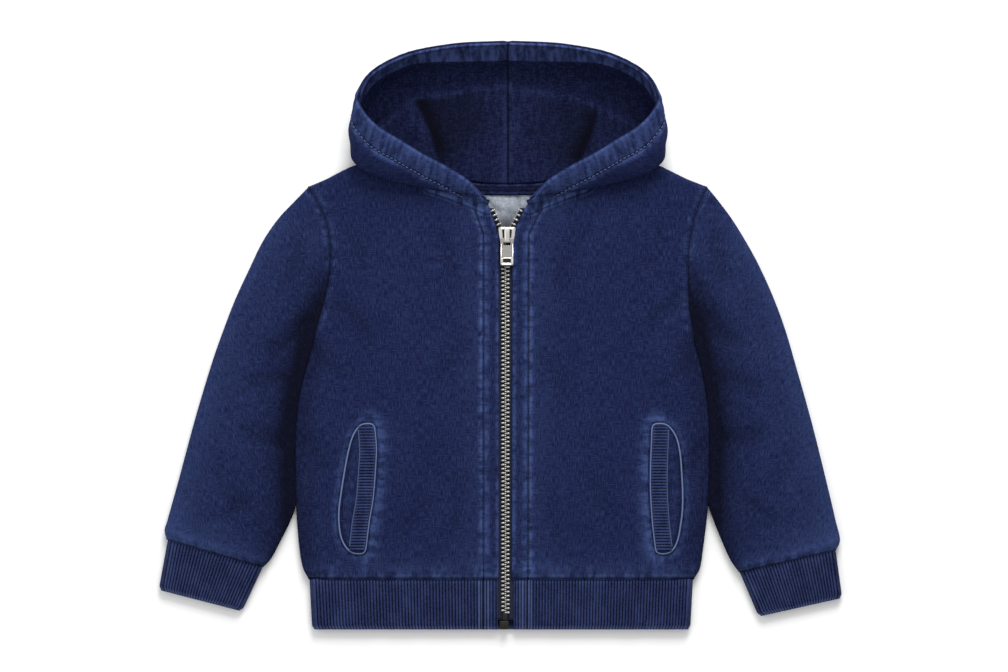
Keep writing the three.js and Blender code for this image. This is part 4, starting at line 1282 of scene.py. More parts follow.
        # Painted shade in the valley by the side fold, at the armhole seam, in the creases and just outside the
        # pocket's piping.
        dark = 0.45 * side_slope + 0.28 * hill(to_arm, 5) + 0.2 * hill(to_arm, 1.2)
        dark = dark + np.clip(creased(outer, creases) * 0.35, 0, 0.5)
        dark += 0.75 * hill(to_pocket - 0.9, 0.9) * ~in_pocket
        along_x = (to_hem < 18) & (to_zip > 14) | (to_neck < self.neck_strip + 3)
        marks = {
            "wear_and_highlight": np.clip(wear_and_highlight, 0, 1.3), "dark": np.clip(dark, 0, 1), "fade": fade,
            "seam_a": topstitched(np.where(in_pocket | (to_neck < self.neck_strip), REACH,
                                           to_zip - self.placket)),
            "seam_b": topstitched(np.minimum(to_neck - self.neck_strip, to_hem - 1.0)),
            "turn": along_x.astype(float),
        }
        heights = np.array([HEM_SEAM_Y + 2, 60, 150, 162])
        edge = side.sign * np.interp(heights, ZIP_EDGE[:, 0], ZIP_EDGE[:, side.column])
        line = np.column_stack([edge + side.sign * self.placket, heights, np.full(4, LAID_HEIGHT - 0.25)])
        self.stitch_lines.setdefault("placket", []).append(Route(line).spaced(np.linspace(0, 1, 60)))
        return Cloth(f"front_{side.value}_cloth", outer, inner, False, marks).build(self.fleece)

    def inside(self, outline: np.ndarray, points: np.ndarray) -> np.ndarray:
        """Whether grid points lie inside a closed outline, seen from above.

        Args:
            outline: Points of the outline.
            points: Grid of points.

        Returns:
            True for each point that lies inside.
        """
        found = np.zeros(points.shape[:2], bool)
        px, py = points[..., 0], points[..., 1]
        for (x1, y1), (x2, y2) in zip(outline[:-1], outline[1:]):
            if y1 != y2:
                crosses = (y1 > py) != (y2 > py)
                found ^= crosses & (px < (x2 - x1) * (py - y1) / (y2 - y1) + x1)
        return found

    def back(self, creases: Sequence[Crease]) -> bpy.types.Object:
        """Makes the back, whose grey inner face shows at the neck.

        Args:
            creases: Its creases, seen from above.

        Returns:
            The piece.
        """
        left = outline_points(Side.LEFT, SHOULDER, BACK_NECK)
        right = outline_points(Side.RIGHT, SHOULDER, BACK_NECK)
        top = np.vstack([left, [NAPE], right])
        tips = left[0], right[0]
        height, width = SHOULDER_TIP_Y - HEM_SEAM_Y, tips[1][0] - tips[0][0]
        half = stepped((SIDE_FOLD, 0.5), (width / 2, 2.3)) / width
        across = np.concatenate([half, (1 - half[:-1])[::-1]])
        up = stepped((height - SIDE_FOLD, 2.3), (height, 0.6)) / height
        row, column = up[:, None], across[None, :]
        y = mix(HEM_SEAM_Y, SHOULDER_TIP_Y, row)
        edges = body_edge(Side.LEFT, y), body_edge(Side.RIGHT, y)
        top_x = mix(tips[0][0], tips[1][0], column)
        bend = ramp(0.5, 1, row) ** 2 * (outline_height(top, top_x) - mix(tips[0][1], tips[1][1], column))
        x = mix(edges[0], edges[1], column)
        shoulder = np.maximum(self.shoulder_share(Side.LEFT, top_x), self.shoulder_share(Side.RIGHT, top_x))
        side_distance = np.minimum(x - edges[0], edges[1] - x)
        rise = self.fold_rise(y, side_distance, (1 - row) * height, shoulder)
        outer = np.stack([x, y + bend, SIDE_FOLD - mix(SEAM_GAP / 2, SIDE_FOLD, rise)], axis=2)
        normals = grid_normals(outer, False, (0, 0, 1000))
        inner = clamped(outer - FLEECE * normals, 0, SIDE_FOLD - SEAM_GAP / 2)
        inner[..., 2] -= np.clip(creased(inner, creases), -1.2, 1.2) * rise
        under = outer[..., 2] + 0.7 * hill(side_distance - 10, 6) * puckers(y, 34.0, 2.0) * rise
        outer[..., 2] = np.maximum(under, 0)
        to_hem = outer[..., 1] - HEM_SEAM_Y
        to_arm = np.where(y > UNDERARM_Y - 6, side_distance, REACH)
        to_neck = to_outline(outer, np.vstack([left[-3:], [NAPE], right[:-4:-1]]))
        wear_and_highlight = 0.9 * (1 - ramp(4, 16, to_hem)) + 0.4 * hill(to_arm - 3, 3)
        # Painted shade round the slider and in the creases beside it, and near the side edges.
        slider_shade = hill(np.hypot(outer[..., 0] - 1.5, 0.8 * (outer[..., 1] - 150)), 8)
        slider_shade = slider_shade + 0.18 * np.clip(creased(outer, creases), 0, 1) * (outer[..., 1] > 145)
        marks = {
            "wear_and_highlight": np.clip(wear_and_highlight, 0, 1.2),
            "dark": np.clip(0.6 * hill(side_distance, 9) + 0.85 * slider_shade, 0, 1),
            "seam_a": topstitched(to_neck - 10.0), "seam_b": topstitched(to_hem - 1.0),
            "turn": (to_hem < 18).astype(float),
        }
        return Cloth("back_cloth", outer, inner, False, marks).build(self.fleece)


@dataclass
class Sleeve:
    """One sleeve, a tube of fleece folded flat."""

    side: Side
    fleece: bpy.types.Material
    overlap: float = 0.5  # how far it meets the body, so that no floor shows between them
    cell: float = 2.2
    end_roll: float = 1.3

    def build(self, creases: Sequence[Crease]) -> bpy.types.Object:
        """Makes the sleeve.

        Args:
            creases: Its creases, seen from above.

        Returns:
            The piece.
        """
        sign = self.side.sign

        def seam(y: Any) -> np.ndarray:
            """Where the armhole's seam is across, at heights along the garment."""
            return body_edge(self.side, y) - sign * self.overlap

        beside = [(float(seam(y)), y) for y in (26, 0, -30, -60, SLEEVE_LEAVES_BODY_Y)]
        tip = (float(seam(SHOULDER_TIP_Y)), SHOULDER_TIP_Y)
        underarm = (float(seam(UNDERARM_Y)), UNDERARM_Y)
        outer_route = Route([tip, *SLEEVE_OUTER_FOLD[self.side]])
        inner_route = Route([underarm, *beside, *SLEEVE_INNER_FOLD[self.side]])
        length = outer_route.length
        along = stepped((length - 20, self.cell), (length, 1.2)) / length
        start, end = outer_route.spaced(along)[:, :2], inner_route.spaced(along)[:, :2]
        width = np.linalg.norm(end - start, axis=1)[:, None]
        span, fold, level = self.stops()
        across = np.where(np.isnan(fold), (SIDE_FOLD + span * (width - 2 * SIDE_FOLD)) / width,
                          np.where(span == 0, fold * SIDE_FOLD / width, 1 - fold * SIDE_FOLD / width))
        seam_bend = np.maximum(0, 1 - along[:, None] / 0.3) ** 2
        height = LAID_HEIGHT * (1 - 0.1 * ramp(0.97, 1, along[:, None]))
        seam_y = mix(SHOULDER_TIP_Y, UNDERARM_Y, across)
        x = mix(start[:, :1], end[:, :1], across)
        x = x + seam_bend * (seam(seam_y) - mix(tip[0], underarm[0], across))
        y = mix(start[:, 1:], end[:, 1:], across)
        z = height / 2 * (1 + level)
        outer = np.stack([x, y, z], axis=2)

        from_seam = along[:, None] * length + 0 * across
        from_end = length - from_seam
        outward, inward = across * width, (1 - across) * width
        on_top = ramp(0.2, 1.0, level)
        beside = np.abs(x - body_edge(self.side, y))
        low_down = (1 - ramp(60, 135, y)) * ramp(SLEEVE_LEAVES_BODY_Y - 34, SLEEVE_LEAVES_BODY_Y - 6, y)
        lift = -creased(outer, creases) + 0.9 * hill(across - 0.42, 0.35) * (1 - ramp(0.9, 1.0, along[:, None]))
        lift += 0.30 * hill(from_seam - 6, 5) * puckers(y, 10.0, 5.0) - 0.8 * hill(from_seam, 2.4)
        lift += 0.42 * hill(from_end - 7, 6) * puckers(outward, 10.5, 1.5)
        lift += self.end_roll * (hill(from_end - 7, 6) - 1.1 * hill(from_end, 2.5))
        lift -= 1.6 * low_down * hill(beside, 17) + 0.6 * hill(outward, 9)
        outer[..., 2] += lift * on_top
        under = ramp(0.2, 1.0, -level)
        outer[..., 2] += under * np.abs(0.45 * puckers(from_seam, 41.0, 2.0)) * hill(across - 0.5, 0.3)
        outer[..., 2] = np.maximum(outer[..., 2], 0)
        normals = grid_normals(outer, True, (sign * 230, 0, SIDE_FOLD))
        inner = outer - FLEECE * normals
        # Painted highlight along the rounded outer fold, a paler band along the top, and a pale wash towards the
        # cuff.
        pale = 0.55 * hill(outward, 16) * ramp(0.02, 0.16, along[:, None]) + 0.20 * hill(across - 0.3, 0.25)
        pale += 0.35 * (1 - ramp(8, 50, from_end))
        wear_and_highlight = (0.38 * (1 - ramp(4, 15, from_end)) + 0.30 * hill(from_end - 2, 1.5)
                + 0.40 * hill(from_seam - 3.5, 2.4))
        # Painted shade where the sleeve runs beside and under the body, along its inner fold, in the creases and
        # at the armhole seam.
        dark = 0.85 * low_down * hill(beside - 3, 13) + 0.34 * (1 - ramp(70, 150, y)) * hill(beside, 36)
        dark += 0.40 * hill(inward, 12) * (1 - ramp(SLEEVE_LEAVES_BODY_Y - 20, SLEEVE_LEAVES_BODY_Y, y))
        dark += (np.clip(creased(outer, creases) * 0.35, 0, 0.5) + 0.28 * hill(from_seam, 5)
                 + 0.2 * hill(from_seam, 1.2))
        marks = {
            "wear_and_highlight": np.clip(wear_and_highlight, 0, 1.3), "dark": np.clip(dark, 0, 1), "fade": pale,
            "seam_b": topstitched(from_end - 1.0),
            "turn": (from_end < 20).astype(float),
        }
        turn = -14.0 * self.side.sign
        return Cloth(f"sleeve_{self.side.value}_cloth", outer, inner, True, marks,
                     grain=turn).build(self.fleece)

    def stops(self) -> tuple[np.ndarray, np.ndarray, np.ndarray]:
        """Places round the tube: share of the flat width, place in a fold (none on the flat) and level.

        Returns:
            The three rows, with one value for each place.
        """
        turn = np.linspace(0, math.pi / 2, 7)
        top, bottom = np.linspace(0, 1, 46), np.linspace(1, 0, 40)
        none = np.full
        parts = [
            (np.zeros(6), 1 - np.cos(turn[:-1]), np.sin(turn[:-1])),
            (top, none(46, np.nan), np.ones(46)),
            (np.ones(6), 1 - np.cos(turn[-2::-1]), np.sin(turn[-2::-1])),
            (np.ones(5), 1 - np.cos(turn[1:-1]), -np.sin(turn[1:-1])),
            (bottom, none(40, np.nan), -np.ones(40)),
            (np.zeros(5), 1 - np.cos(turn[-2:0:-1]), -np.sin(turn[-2:0:-1])),
        ]
        return tuple(np.concatenate([part[n] for part in parts]) for n in range(3))


@dataclass
class Ribbing:
    """Cuffs and hem rib."""

    rib: bpy.types.Material
    cuff_height: float = 7.2
    cuff_ribs: int = 28
    cuff_corner: float = 2.0
    band_height: float = 8.2
    band_left: float = 168.0
    band_right: float = 161.5
    band_taper: float = 2.3
    band_ribs: int = 58  # on each half of the front
    band_corner: float = 1.6
    rib_height: float = 0.75
    steps: int = 8  # columns of points for each rib
    # fold_tone: share of the painted crest highlight where the ribs turn round a fold
    fold_tone: float = 0.62  # tone of the ribs where they turn round a fold

    def profile(self, turns: np.ndarray) -> np.ndarray:
        """Height of the ribs from valley 0 to crest 1, at places counted in ribs."""
        return np.abs(np.sin(math.pi * turns)) ** 0.75

    def rows(self, length: float, step: float = 2.0) -> np.ndarray:
        """Shares along a rib piece, closer together at its ends."""
        return stepped((5, 1.0), (length - 8, step), (length, 0.8)) / length

    def cuff(self, side: Side) -> bpy.types.Object:
        """Makes one cuff.

        Args:
            side: Which sleeve it ends.

        Returns:
            The cuff.
        """
        corners = {name: np.array(place, float) for name, place in CUFF_CORNERS[side].items()}
        length = float(np.linalg.norm(corners["wrist outer"] - corners["outer"]))
        along = self.rows(length)[:, None]
        count = self.cuff_ribs * self.steps
        turn = np.linspace(0, math.pi / 2, 7)
        top, bottom = np.linspace(0, 1, count + 1), np.linspace(1, 0, 60)
        none = np.nan
        parts = [
            (np.zeros(6), 1 - np.cos(turn[:-1]), np.sin(turn[:-1])),
            (top, np.full(count + 1, none), np.ones(count + 1)),
            (np.ones(6), 1 - np.cos(turn[-2::-1]), np.sin(turn[-2::-1])),
            (np.ones(5), 1 - np.cos(turn[1:-1]), -np.sin(turn[1:-1])),
            (bottom, np.full(60, none), -np.ones(60)),
            (np.zeros(5), 1 - np.cos(turn[-2:0:-1]), -np.sin(turn[-2:0:-1])),
        ]
        span, fold, level = (np.concatenate([part[n] for part in parts]) for n in range(3))
        corner = self.cuff_corner * ramp(0.88, 1.0, along) ** 2
        tuck = 4.0 * (1 - ramp(0, 0.1, along)) / length
        shift = along - tuck
        start = mix(corners["outer"], corners["wrist outer"], shift)
        end = mix(corners["inner"], corners["wrist inner"], shift)
        full = np.linalg.norm(end - start, axis=1)[:, None]
        first, last = mix(start, end, corner / full), mix(end, start, corner / full)
        width = np.linalg.norm(last - first, axis=1)[:, None]
        radius = self.cuff_height / 2
        across = np.where(np.isnan(fold), (radius + span * (width - 2 * radius)) / width,
                          np.where(span == 0, fold * radius / width, 1 - fold * radius / width))
        place = first[:, None] + (last - first)[:, None] * across[..., None]
        profile = np.where(np.isnan(fold) & (level > 0), self.profile(span * self.cuff_ribs), self.fold_tone)
        height = self.cuff_height - 1.6 * ramp(0.9, 1, along) - 2.2 * (1 - ramp(0, 0.12, along))
        swell = 0.5 * np.sin(math.pi * np.clip(along, 0, 1)) * (level > 0) * np.sin(math.pi
                                                                                    * np.clip(across, 0, 1))
        drop = self.rib_height * (1 - profile) * (level > 0.99)
        z = height / 2 * (1 + level) - drop + swell + (self.cuff_height - height) * 0.3 * (1 + 0 * level)
        outer = np.concatenate([place, np.maximum(z, 0)[..., None]], axis=2)
        smooth = outer.copy()
        smooth[..., 2] += drop
        middle = (*np.mean([corners["outer"], corners["wrist inner"]], axis=0), radius)
        inner = smooth - (RIB_KNIT + self.rib_height) * grid_normals(smooth, True, middle)
        marks = {
            "crest": np.broadcast_to(profile, z.shape),
            "wear_and_highlight": 0.75 * ramp(0.9, 0.97, along) + 0.30 * hill((1 - across) * width, 5)
            + 0.25 * hill(across * width, 5)
            + 0 * z,
        }
        return Cloth(f"cuff_{side.value}_rib", outer, inner, True, marks, True).build(self.rib)

    def band(self) -> bpy.types.Object:
        """Makes the hem rib: from the zip round the left fold, the underside and the right fold to the zip.

        Returns:
            The rib.
        """
        length = HEM_SEAM_Y - EDGE_GAP - HEM_END_Y
        down = self.rows(length)[:, None]
        y = HEM_SEAM_Y - EDGE_GAP - down * length
        radius = self.band_height / 2
        corner = self.band_corner * ramp(0.88, 1.0, down) ** 2
        height = self.band_height - 1.4 * ramp(0.9, 1, down) - 1.6 * (1 - ramp(0, 0.1, down))
        turns = np.linspace(math.pi / 2, -math.pi / 2, 13)[1:]
        count = self.band_ribs * self.steps
        shares = np.linspace(0, 1, count + 1)

        def edge(side: Side) -> np.ndarray:
            """How far out the rib's side fold is, row by row."""
            full = self.band_left if side is Side.LEFT else self.band_right
            return full - self.band_taper * down - corner

        def half(side: Side) -> np.ndarray:
            """One half of the front, from the zip to the side fold."""
            start = ZIP_EDGE[0, side.column]
            x = side.sign * mix(start, edge(side) - radius, shares)
            rise = self.rib_height * (1 - self.profile(shares * self.band_ribs + 0.5))
            swell = 0.35 * np.sin(math.pi * np.clip(down, 0, 1)) + 0.25 * puckers(x, 47.0, 1.0) * down
            return np.stack([x, y + 0 * x, height - rise + swell * ramp(0, 0.06, shares)], axis=2)

        def turn(side: Side) -> np.ndarray:
            """The half round of one side fold."""
            x = side.sign * (edge(side) - radius + radius * np.cos(turns))
            return np.stack([x, y + 0 * x, height / 2 * (1 + np.sin(turns)) + 0 * x], axis=2)

        under_x = mix(-edge(Side.LEFT) + radius, edge(Side.RIGHT) - radius, np.linspace(0, 1, 80)[None, 1:-1])
        under = np.stack([under_x, y + 0 * under_x, 0 * under_x], axis=2)
        outer = np.concatenate([half(Side.LEFT), turn(Side.LEFT), under, turn(Side.RIGHT)[:, ::-1],
                                half(Side.RIGHT)[:, ::-1]], axis=1)
        crest = self.profile(shares * self.band_ribs + 0.5)
        others = np.full(outer.shape[1] - 2 * len(crest), self.fold_tone)
        profile = np.concatenate([crest, others, crest[::-1]])
        smooth = outer.copy()
        smooth[..., 2] += self.rib_height * (1 - profile) * (outer[..., 2] > radius)
        inner = smooth - (RIB_KNIT + self.rib_height) * grid_normals(smooth, False, (0, -175, radius))
        inner[..., 2] = np.clip(inner[..., 2], 0.9, self.band_height)
        to_zip = np.abs(outer[..., 0]) - 7
        on_front = outer[..., 2] > radius
        wear_and_highlight = (0.70 * ramp(0.90, 0.97, down)
                + 0.9 * (hill(to_zip - 14.5, 1.4) + 0.6 * hill(to_zip - 8, 2.5)) * on_front)
        side_edge = np.minimum(outer[..., 0] + edge(Side.LEFT), edge(Side.RIGHT) - outer[..., 0])
        marks = {"crest": profile[None, :] + 0 * y, "wear_and_highlight": wear_and_highlight + 0.3 * hill(side_edge, 4),
                 "seam_a": topstitched(np.where(on_front, to_zip - 12.2, REACH))}
        return Cloth("hem_rib", outer, inner, False, marks, True).build(self.rib)


@dataclass
class Hood:
    """The hood, its two halves lined, with a sewn band along the rim."""

    fleece: bpy.types.Material
    jersey: bpy.types.Material
    rows: int = 150
    columns: int = 84
    band: float = 18.5  # from the rim to the band's stitches
    top_band: float = 28.0  # the same inside the hood at the centre seam
    overlap: float = 0.12  # how far the halves meet, so that no floor shows in their seam
    lines: dict[str, list[np.ndarray]] = field(default_factory=dict)

    def surface(self) -> tuple[np.ndarray, np.ndarray]:
        """Outer points of the left half, with one row past the centre seam, and distances from the rim.

        Returns:
            The points and the distances.
        """
        sections = [Route(section[1:]) for section in HOOD_SECTIONS]
        across = np.linspace(0, 1, self.columns)
        spaced = np.stack([section.spaced(across) for section in sections])
        share = np.linspace(0, 1, self.rows)
        rests = np.interp(share, np.linspace(0, 1, len(HOOD_SECTIONS)),
                          [section[0] for section in HOOD_SECTIONS])
        grid = np.stack([Route(spaced[:, k]).at(share) for k in range(self.columns)], axis=1)
        centre = CENTRE_X + self.overlap
        grid[..., 0] = np.minimum(grid[..., 0], centre)
        grid[-1, :, 0] = centre
        grid[..., 2] = np.maximum(grid[..., 2], rests[:, None])
        steps = np.linalg.norm(np.diff(grid, axis=1), axis=2)
        length = np.concatenate([np.zeros((self.rows, 1)), np.cumsum(steps, axis=1)], axis=1)
        beyond = grid[-2:-1].copy()
        beyond[..., 0] = 2 * centre - beyond[..., 0]
        return np.concatenate([grid, beyond]), length[:, -1:] - length

    def build(self, creases: dict[Side, Sequence[Crease]]) -> list[bpy.types.Object]:
        """Makes both halves and their linings.

        Args:
            creases: Creases of the lining in each half.

        Returns:
            The pieces.
        """
        grid, to_rim = self.surface()
        bowl = (CENTRE_X, 240.0, 28.0)
        inward = -grid_normals(grid, False, bowl)[:-1]
        grid = grid[:-1]
        rim_along = np.concatenate([[0], np.cumsum(np.linalg.norm(np.diff(grid[:, -1], axis=0), axis=1))])[:,
                                                                                                           None]
        to_centre = CENTRE_X - grid[..., 0]
        length = to_rim[:, :1]
        to_neck = length - to_rim
        pieces = []
        for side in Side:
            phase = 1.0 + side.column
            ripple = puckers(rim_along, 9.0, phase)
            lift = 0.75 * hill(to_rim - 11, 6) * ripple - 0.9 * hill(to_rim - self.band, 1.2)
            lift += 0.25 * hill(to_rim - self.band - 4, 3) * puckers(rim_along, 8.0, phase + 2)
            lift += 0.7 * hill(to_rim - 8, 8) - 0.9 * hill(to_rim, 2.0)
            lift -= 0.9 * hill(to_centre, 1.6)
            fade = ramp(0, 3, to_neck) * ramp(0.0, 12.0, rim_along)
            outer = self.mirrored(grid - inward * (lift * fade)[..., None], side)
            outer[..., 2] = np.maximum(outer[..., 2], 0)
            plain = grid + inward * HOOD_FLEECE
            inner = self.mirrored(plain, side)
            # Painted highlight: the band is painted paler the higher it stands.
            height_highlight = np.clip(0.55 * ramp(5, 24, grid[..., 2]), 0, 1)
            wear_and_highlight = (0.46 * (1 - ramp(self.band - 1, self.band + 3, to_rim))
                    + 0.55 * hill(to_rim - self.band - 3, 2.0))
            wear_and_highlight = wear_and_highlight + 0.5 * hill(to_centre - 2, 2.5) + 0.7 * hill(to_neck - 4.5, 3.0)
            # Painted shade under the hood's edge at the neck seam, in the troughs of the rim's ripples and along
            # the band's stitches.
            low = (0.45 * hill(to_neck - 10, 1.2) + 0.4 * hill(to_neck, 2.0)
                   + 0.22 * hill(to_rim - 11, 6) * (1 - ripple))
            low = low + 0.5 * hill(to_rim - self.band + 1.0, 1.6) * (0.5 + 0.5 * puckers(rim_along, 5.5, phase))
            # The fade mark holds the painted highlight on the high band and a pale rim edge.
            marks = {
                "wear_and_highlight": np.clip(wear_and_highlight, 0, 1.2), "dark": np.clip(low + 0 * to_rim, 0, 1),
                "fade": 0.18 * height_highlight * (1 - ramp(self.band, self.band + 6, to_rim))
                + 0.5 * hill(to_rim - 1.5, 2.0),
                "seam_a": topstitched(to_rim - self.band),
                "seam_b": topstitched(np.minimum(to_centre - 0.2, to_rim)),
                "rim": np.ones_like(to_rim),
            }
            pieces.append(Cloth(f"hood_{side.value}_cloth", outer, inner, False, marks, True,
                                None).build(self.fleece))
            pieces.append(self.lining(side, grid, inward, to_rim, to_neck, to_centre, rim_along, creases[side]))
            stitched = (grid - inward * 0.15)
            picked = [np.argmin(np.abs(to_rim[k] - self.band)) for k in range(self.rows)]
            line = np.array([stitched[k, c] for k, c in enumerate(picked)])[4:]
            self.lines.setdefault("band", []).append(
                Route(self.mirrored(line[::6][None], side)[0]).spaced(np.linspace(0, 1, 120)))
        return pieces

    def lining(self, side: Side, grid: np.ndarray, inward: np.ndarray, to_rim: np.ndarray, to_neck: np.ndarray,
               to_centre: np.ndarray, rim_along: np.ndarray, creases: Sequence[Crease]) -> bpy.types.Object:
        """Makes the lining of one half.

        Args:
            side: Which half.
            grid: Outer points of the left half.
            inward: Directions towards the bowl.
            to_rim: Distances from the rim.
            to_neck: Distances from the neck seam.
            to_centre: Distances from the centre seam.
            rim_along: Distances along the rim from the zip.
            creases: Its creases, seen from above.

        Returns:
            The piece.
        """
        depth = HOOD_FLEECE + SEAM_GAP
        band = self.band + (self.top_band - self.band) * (1 - ramp(20, 150, to_centre[:, -1:]))
        away = grid + inward * depth
        shown = self.mirrored(grid + inward * (depth + JERSEY), side)
        ripple = 0.35 * hill(to_rim - 9, 6) * puckers(rim_along, 9.0, 3.0 + side.column)
        lift = ripple - 0.6 * hill(to_rim - band, 1.2) - 0.5 * hill(to_centre, 1.5) + 0.4 * hill(to_rim - 7, 7)
        beyond_fold = self.beyond_fold(shown)
        free = ramp(band + 2, band + 9, to_rim)
        lift += (1.3 * hill(beyond_fold + 3.5, 3.5) - 1.1 * hill(beyond_fold - 3.0, 3.5)) * free
        fold = creased(shown, creases)
        lift = lift - fold * ramp(8, 22, to_rim)
        fade = ramp(0, 4, to_neck) * ramp(0.0, 10.0, rim_along)
        thick = grid + inward * (depth + JERSEY + np.maximum(lift * fade, -1.2))[..., None]
        inner = self.mirrored(thick, side)
        outer = self.mirrored(away, side)
        height = grid[..., 2]
        # Pale tone: wash along the band and the centre seam, with painted light on the band towards the top of
        # the hood where it stands steeply in shade, on the floor where it lies low, and on a lip just below the
        # fold.
        top_band_light = 1 - ramp(70, 150, to_centre)
        wear_and_highlight = ((0.75 + 0.70 * top_band_light) * (1 - ramp(band - 2, band + 1, to_rim))
                + 0.15 * hill(beyond_fold + 5, 4.0) * free)
        wear_and_highlight = wear_and_highlight + 0.25 * hill(to_centre - 3, 2.0) * free + 0.10 * (1 - ramp(2, 9, height))
        # Painted shade on the steep crown above the fold, and on one side of each crease.
        crown_wall_shade = ramp(band, band + 6, to_rim) * ramp(-3.5, 4.0,
                                                   beyond_fold) * (1 - 0.45 * ramp(6, 24, beyond_fold))
        crown_wall_shade = crown_wall_shade * (0.72 + 0.5 * ramp(50, 120, to_centre))
        crease_shade = np.clip(fold * 0.12, -0.10, 0.3) + 0.95 * sum(crease.shade_at(shown) for crease in creases)
        crease_shade = crease_shade * ramp(1, 8, -beyond_fold)
        # The dark mark: painted shade on the crown, beside the creases and in a line just inside the rim.
        marks = {
            "wear_and_highlight": np.clip(wear_and_highlight, 0, 2), "dark": np.clip(0.20 * crown_wall_shade + crease_shade + 0.5 * hill(to_rim - 2.2, 1.1),
                                                         0, 1),
            "seam_a": topstitched(to_rim - band), "seam_b": topstitched(to_centre - 0.2),
        }
        return Cloth(f"hood_lining_{side.value}_cloth", outer, inner, False, marks, True).build(self.jersey)

    def beyond_fold(self, points: np.ndarray) -> np.ndarray:
        """How far grid points lie beyond the fold where the lining's floor meets its crown, seen from above."""
        line = np.array(HOOD_FLOOR_FOLD)
        return points[..., 1] - np.interp(points[..., 0], line[:, 0], line[:, 1])

    def mirrored(self, points: np.ndarray, side: Side) -> np.ndarray:
        """Points of the left half, turned over the centre seam for the right one.

        Args:
            points: Points of the left half.
            side: Which half is wanted.

        Returns:
            The points of that half.
        """
        if side is Side.LEFT:
            return points
        turned = points.copy()
        turned[..., 0] = 2 * CENTRE_X - turned[..., 0]
        return turned


@dataclass
class NeckTape:
    """Tape over the back neck seam."""

    cloth: bpy.types.Material
    reach: float = 52.0
    width: float = 8.3
    tuck: float = 2.4  # how far it reaches under the hood

    def build(self) -> bpy.types.Object:
        """Makes the tape.

        Returns:
            The tape.
        """
        left, right = (outline_points(side, SHOULDER, BACK_NECK) for side in Side)
        top = np.vstack([left, [NAPE], right])
        x = NAPE[0] + np.linspace(-self.reach, self.reach, 70)[None, :]
        drop = np.linspace(self.width, 0, 12)[:, None]
        y = outline_height(top, x) + self.tuck - drop * (1 + self.tuck / self.width)
        share = drop / self.width
        crown = 0.5 * np.sin(math.pi * np.clip(share, 0, 1)) ** 0.5 + 0.18 * puckers(x, 9.0, 1.0)
        z = FLEECE + SEAM_GAP + TAPE_CLOTH - 0.4 + crown
        outer = np.stack([x + 0 * y, y, z], axis=2)
        inner = np.stack([x + 0 * y, y, np.full_like(y, FLEECE + SEAM_GAP)], axis=2)
        edge = self.width * np.minimum(share, 1 - share)
        # Painted shade right at the tape's edges, with a pale line just inside them.
        marks = {"wear_and_highlight": 0.50 * hill(edge - 1.5, 1.0) + 0 * x, "dark": 0.15 * hill(edge, 0.9) + 0 * x,
                 "seam_a": topstitched(edge - 0.3 + 0 * x), "seam_b": topstitched(edge - 2.8 + 0 * x)}
        return Cloth("neck_tape_cloth", outer, inner, False, marks).build(self.cloth)


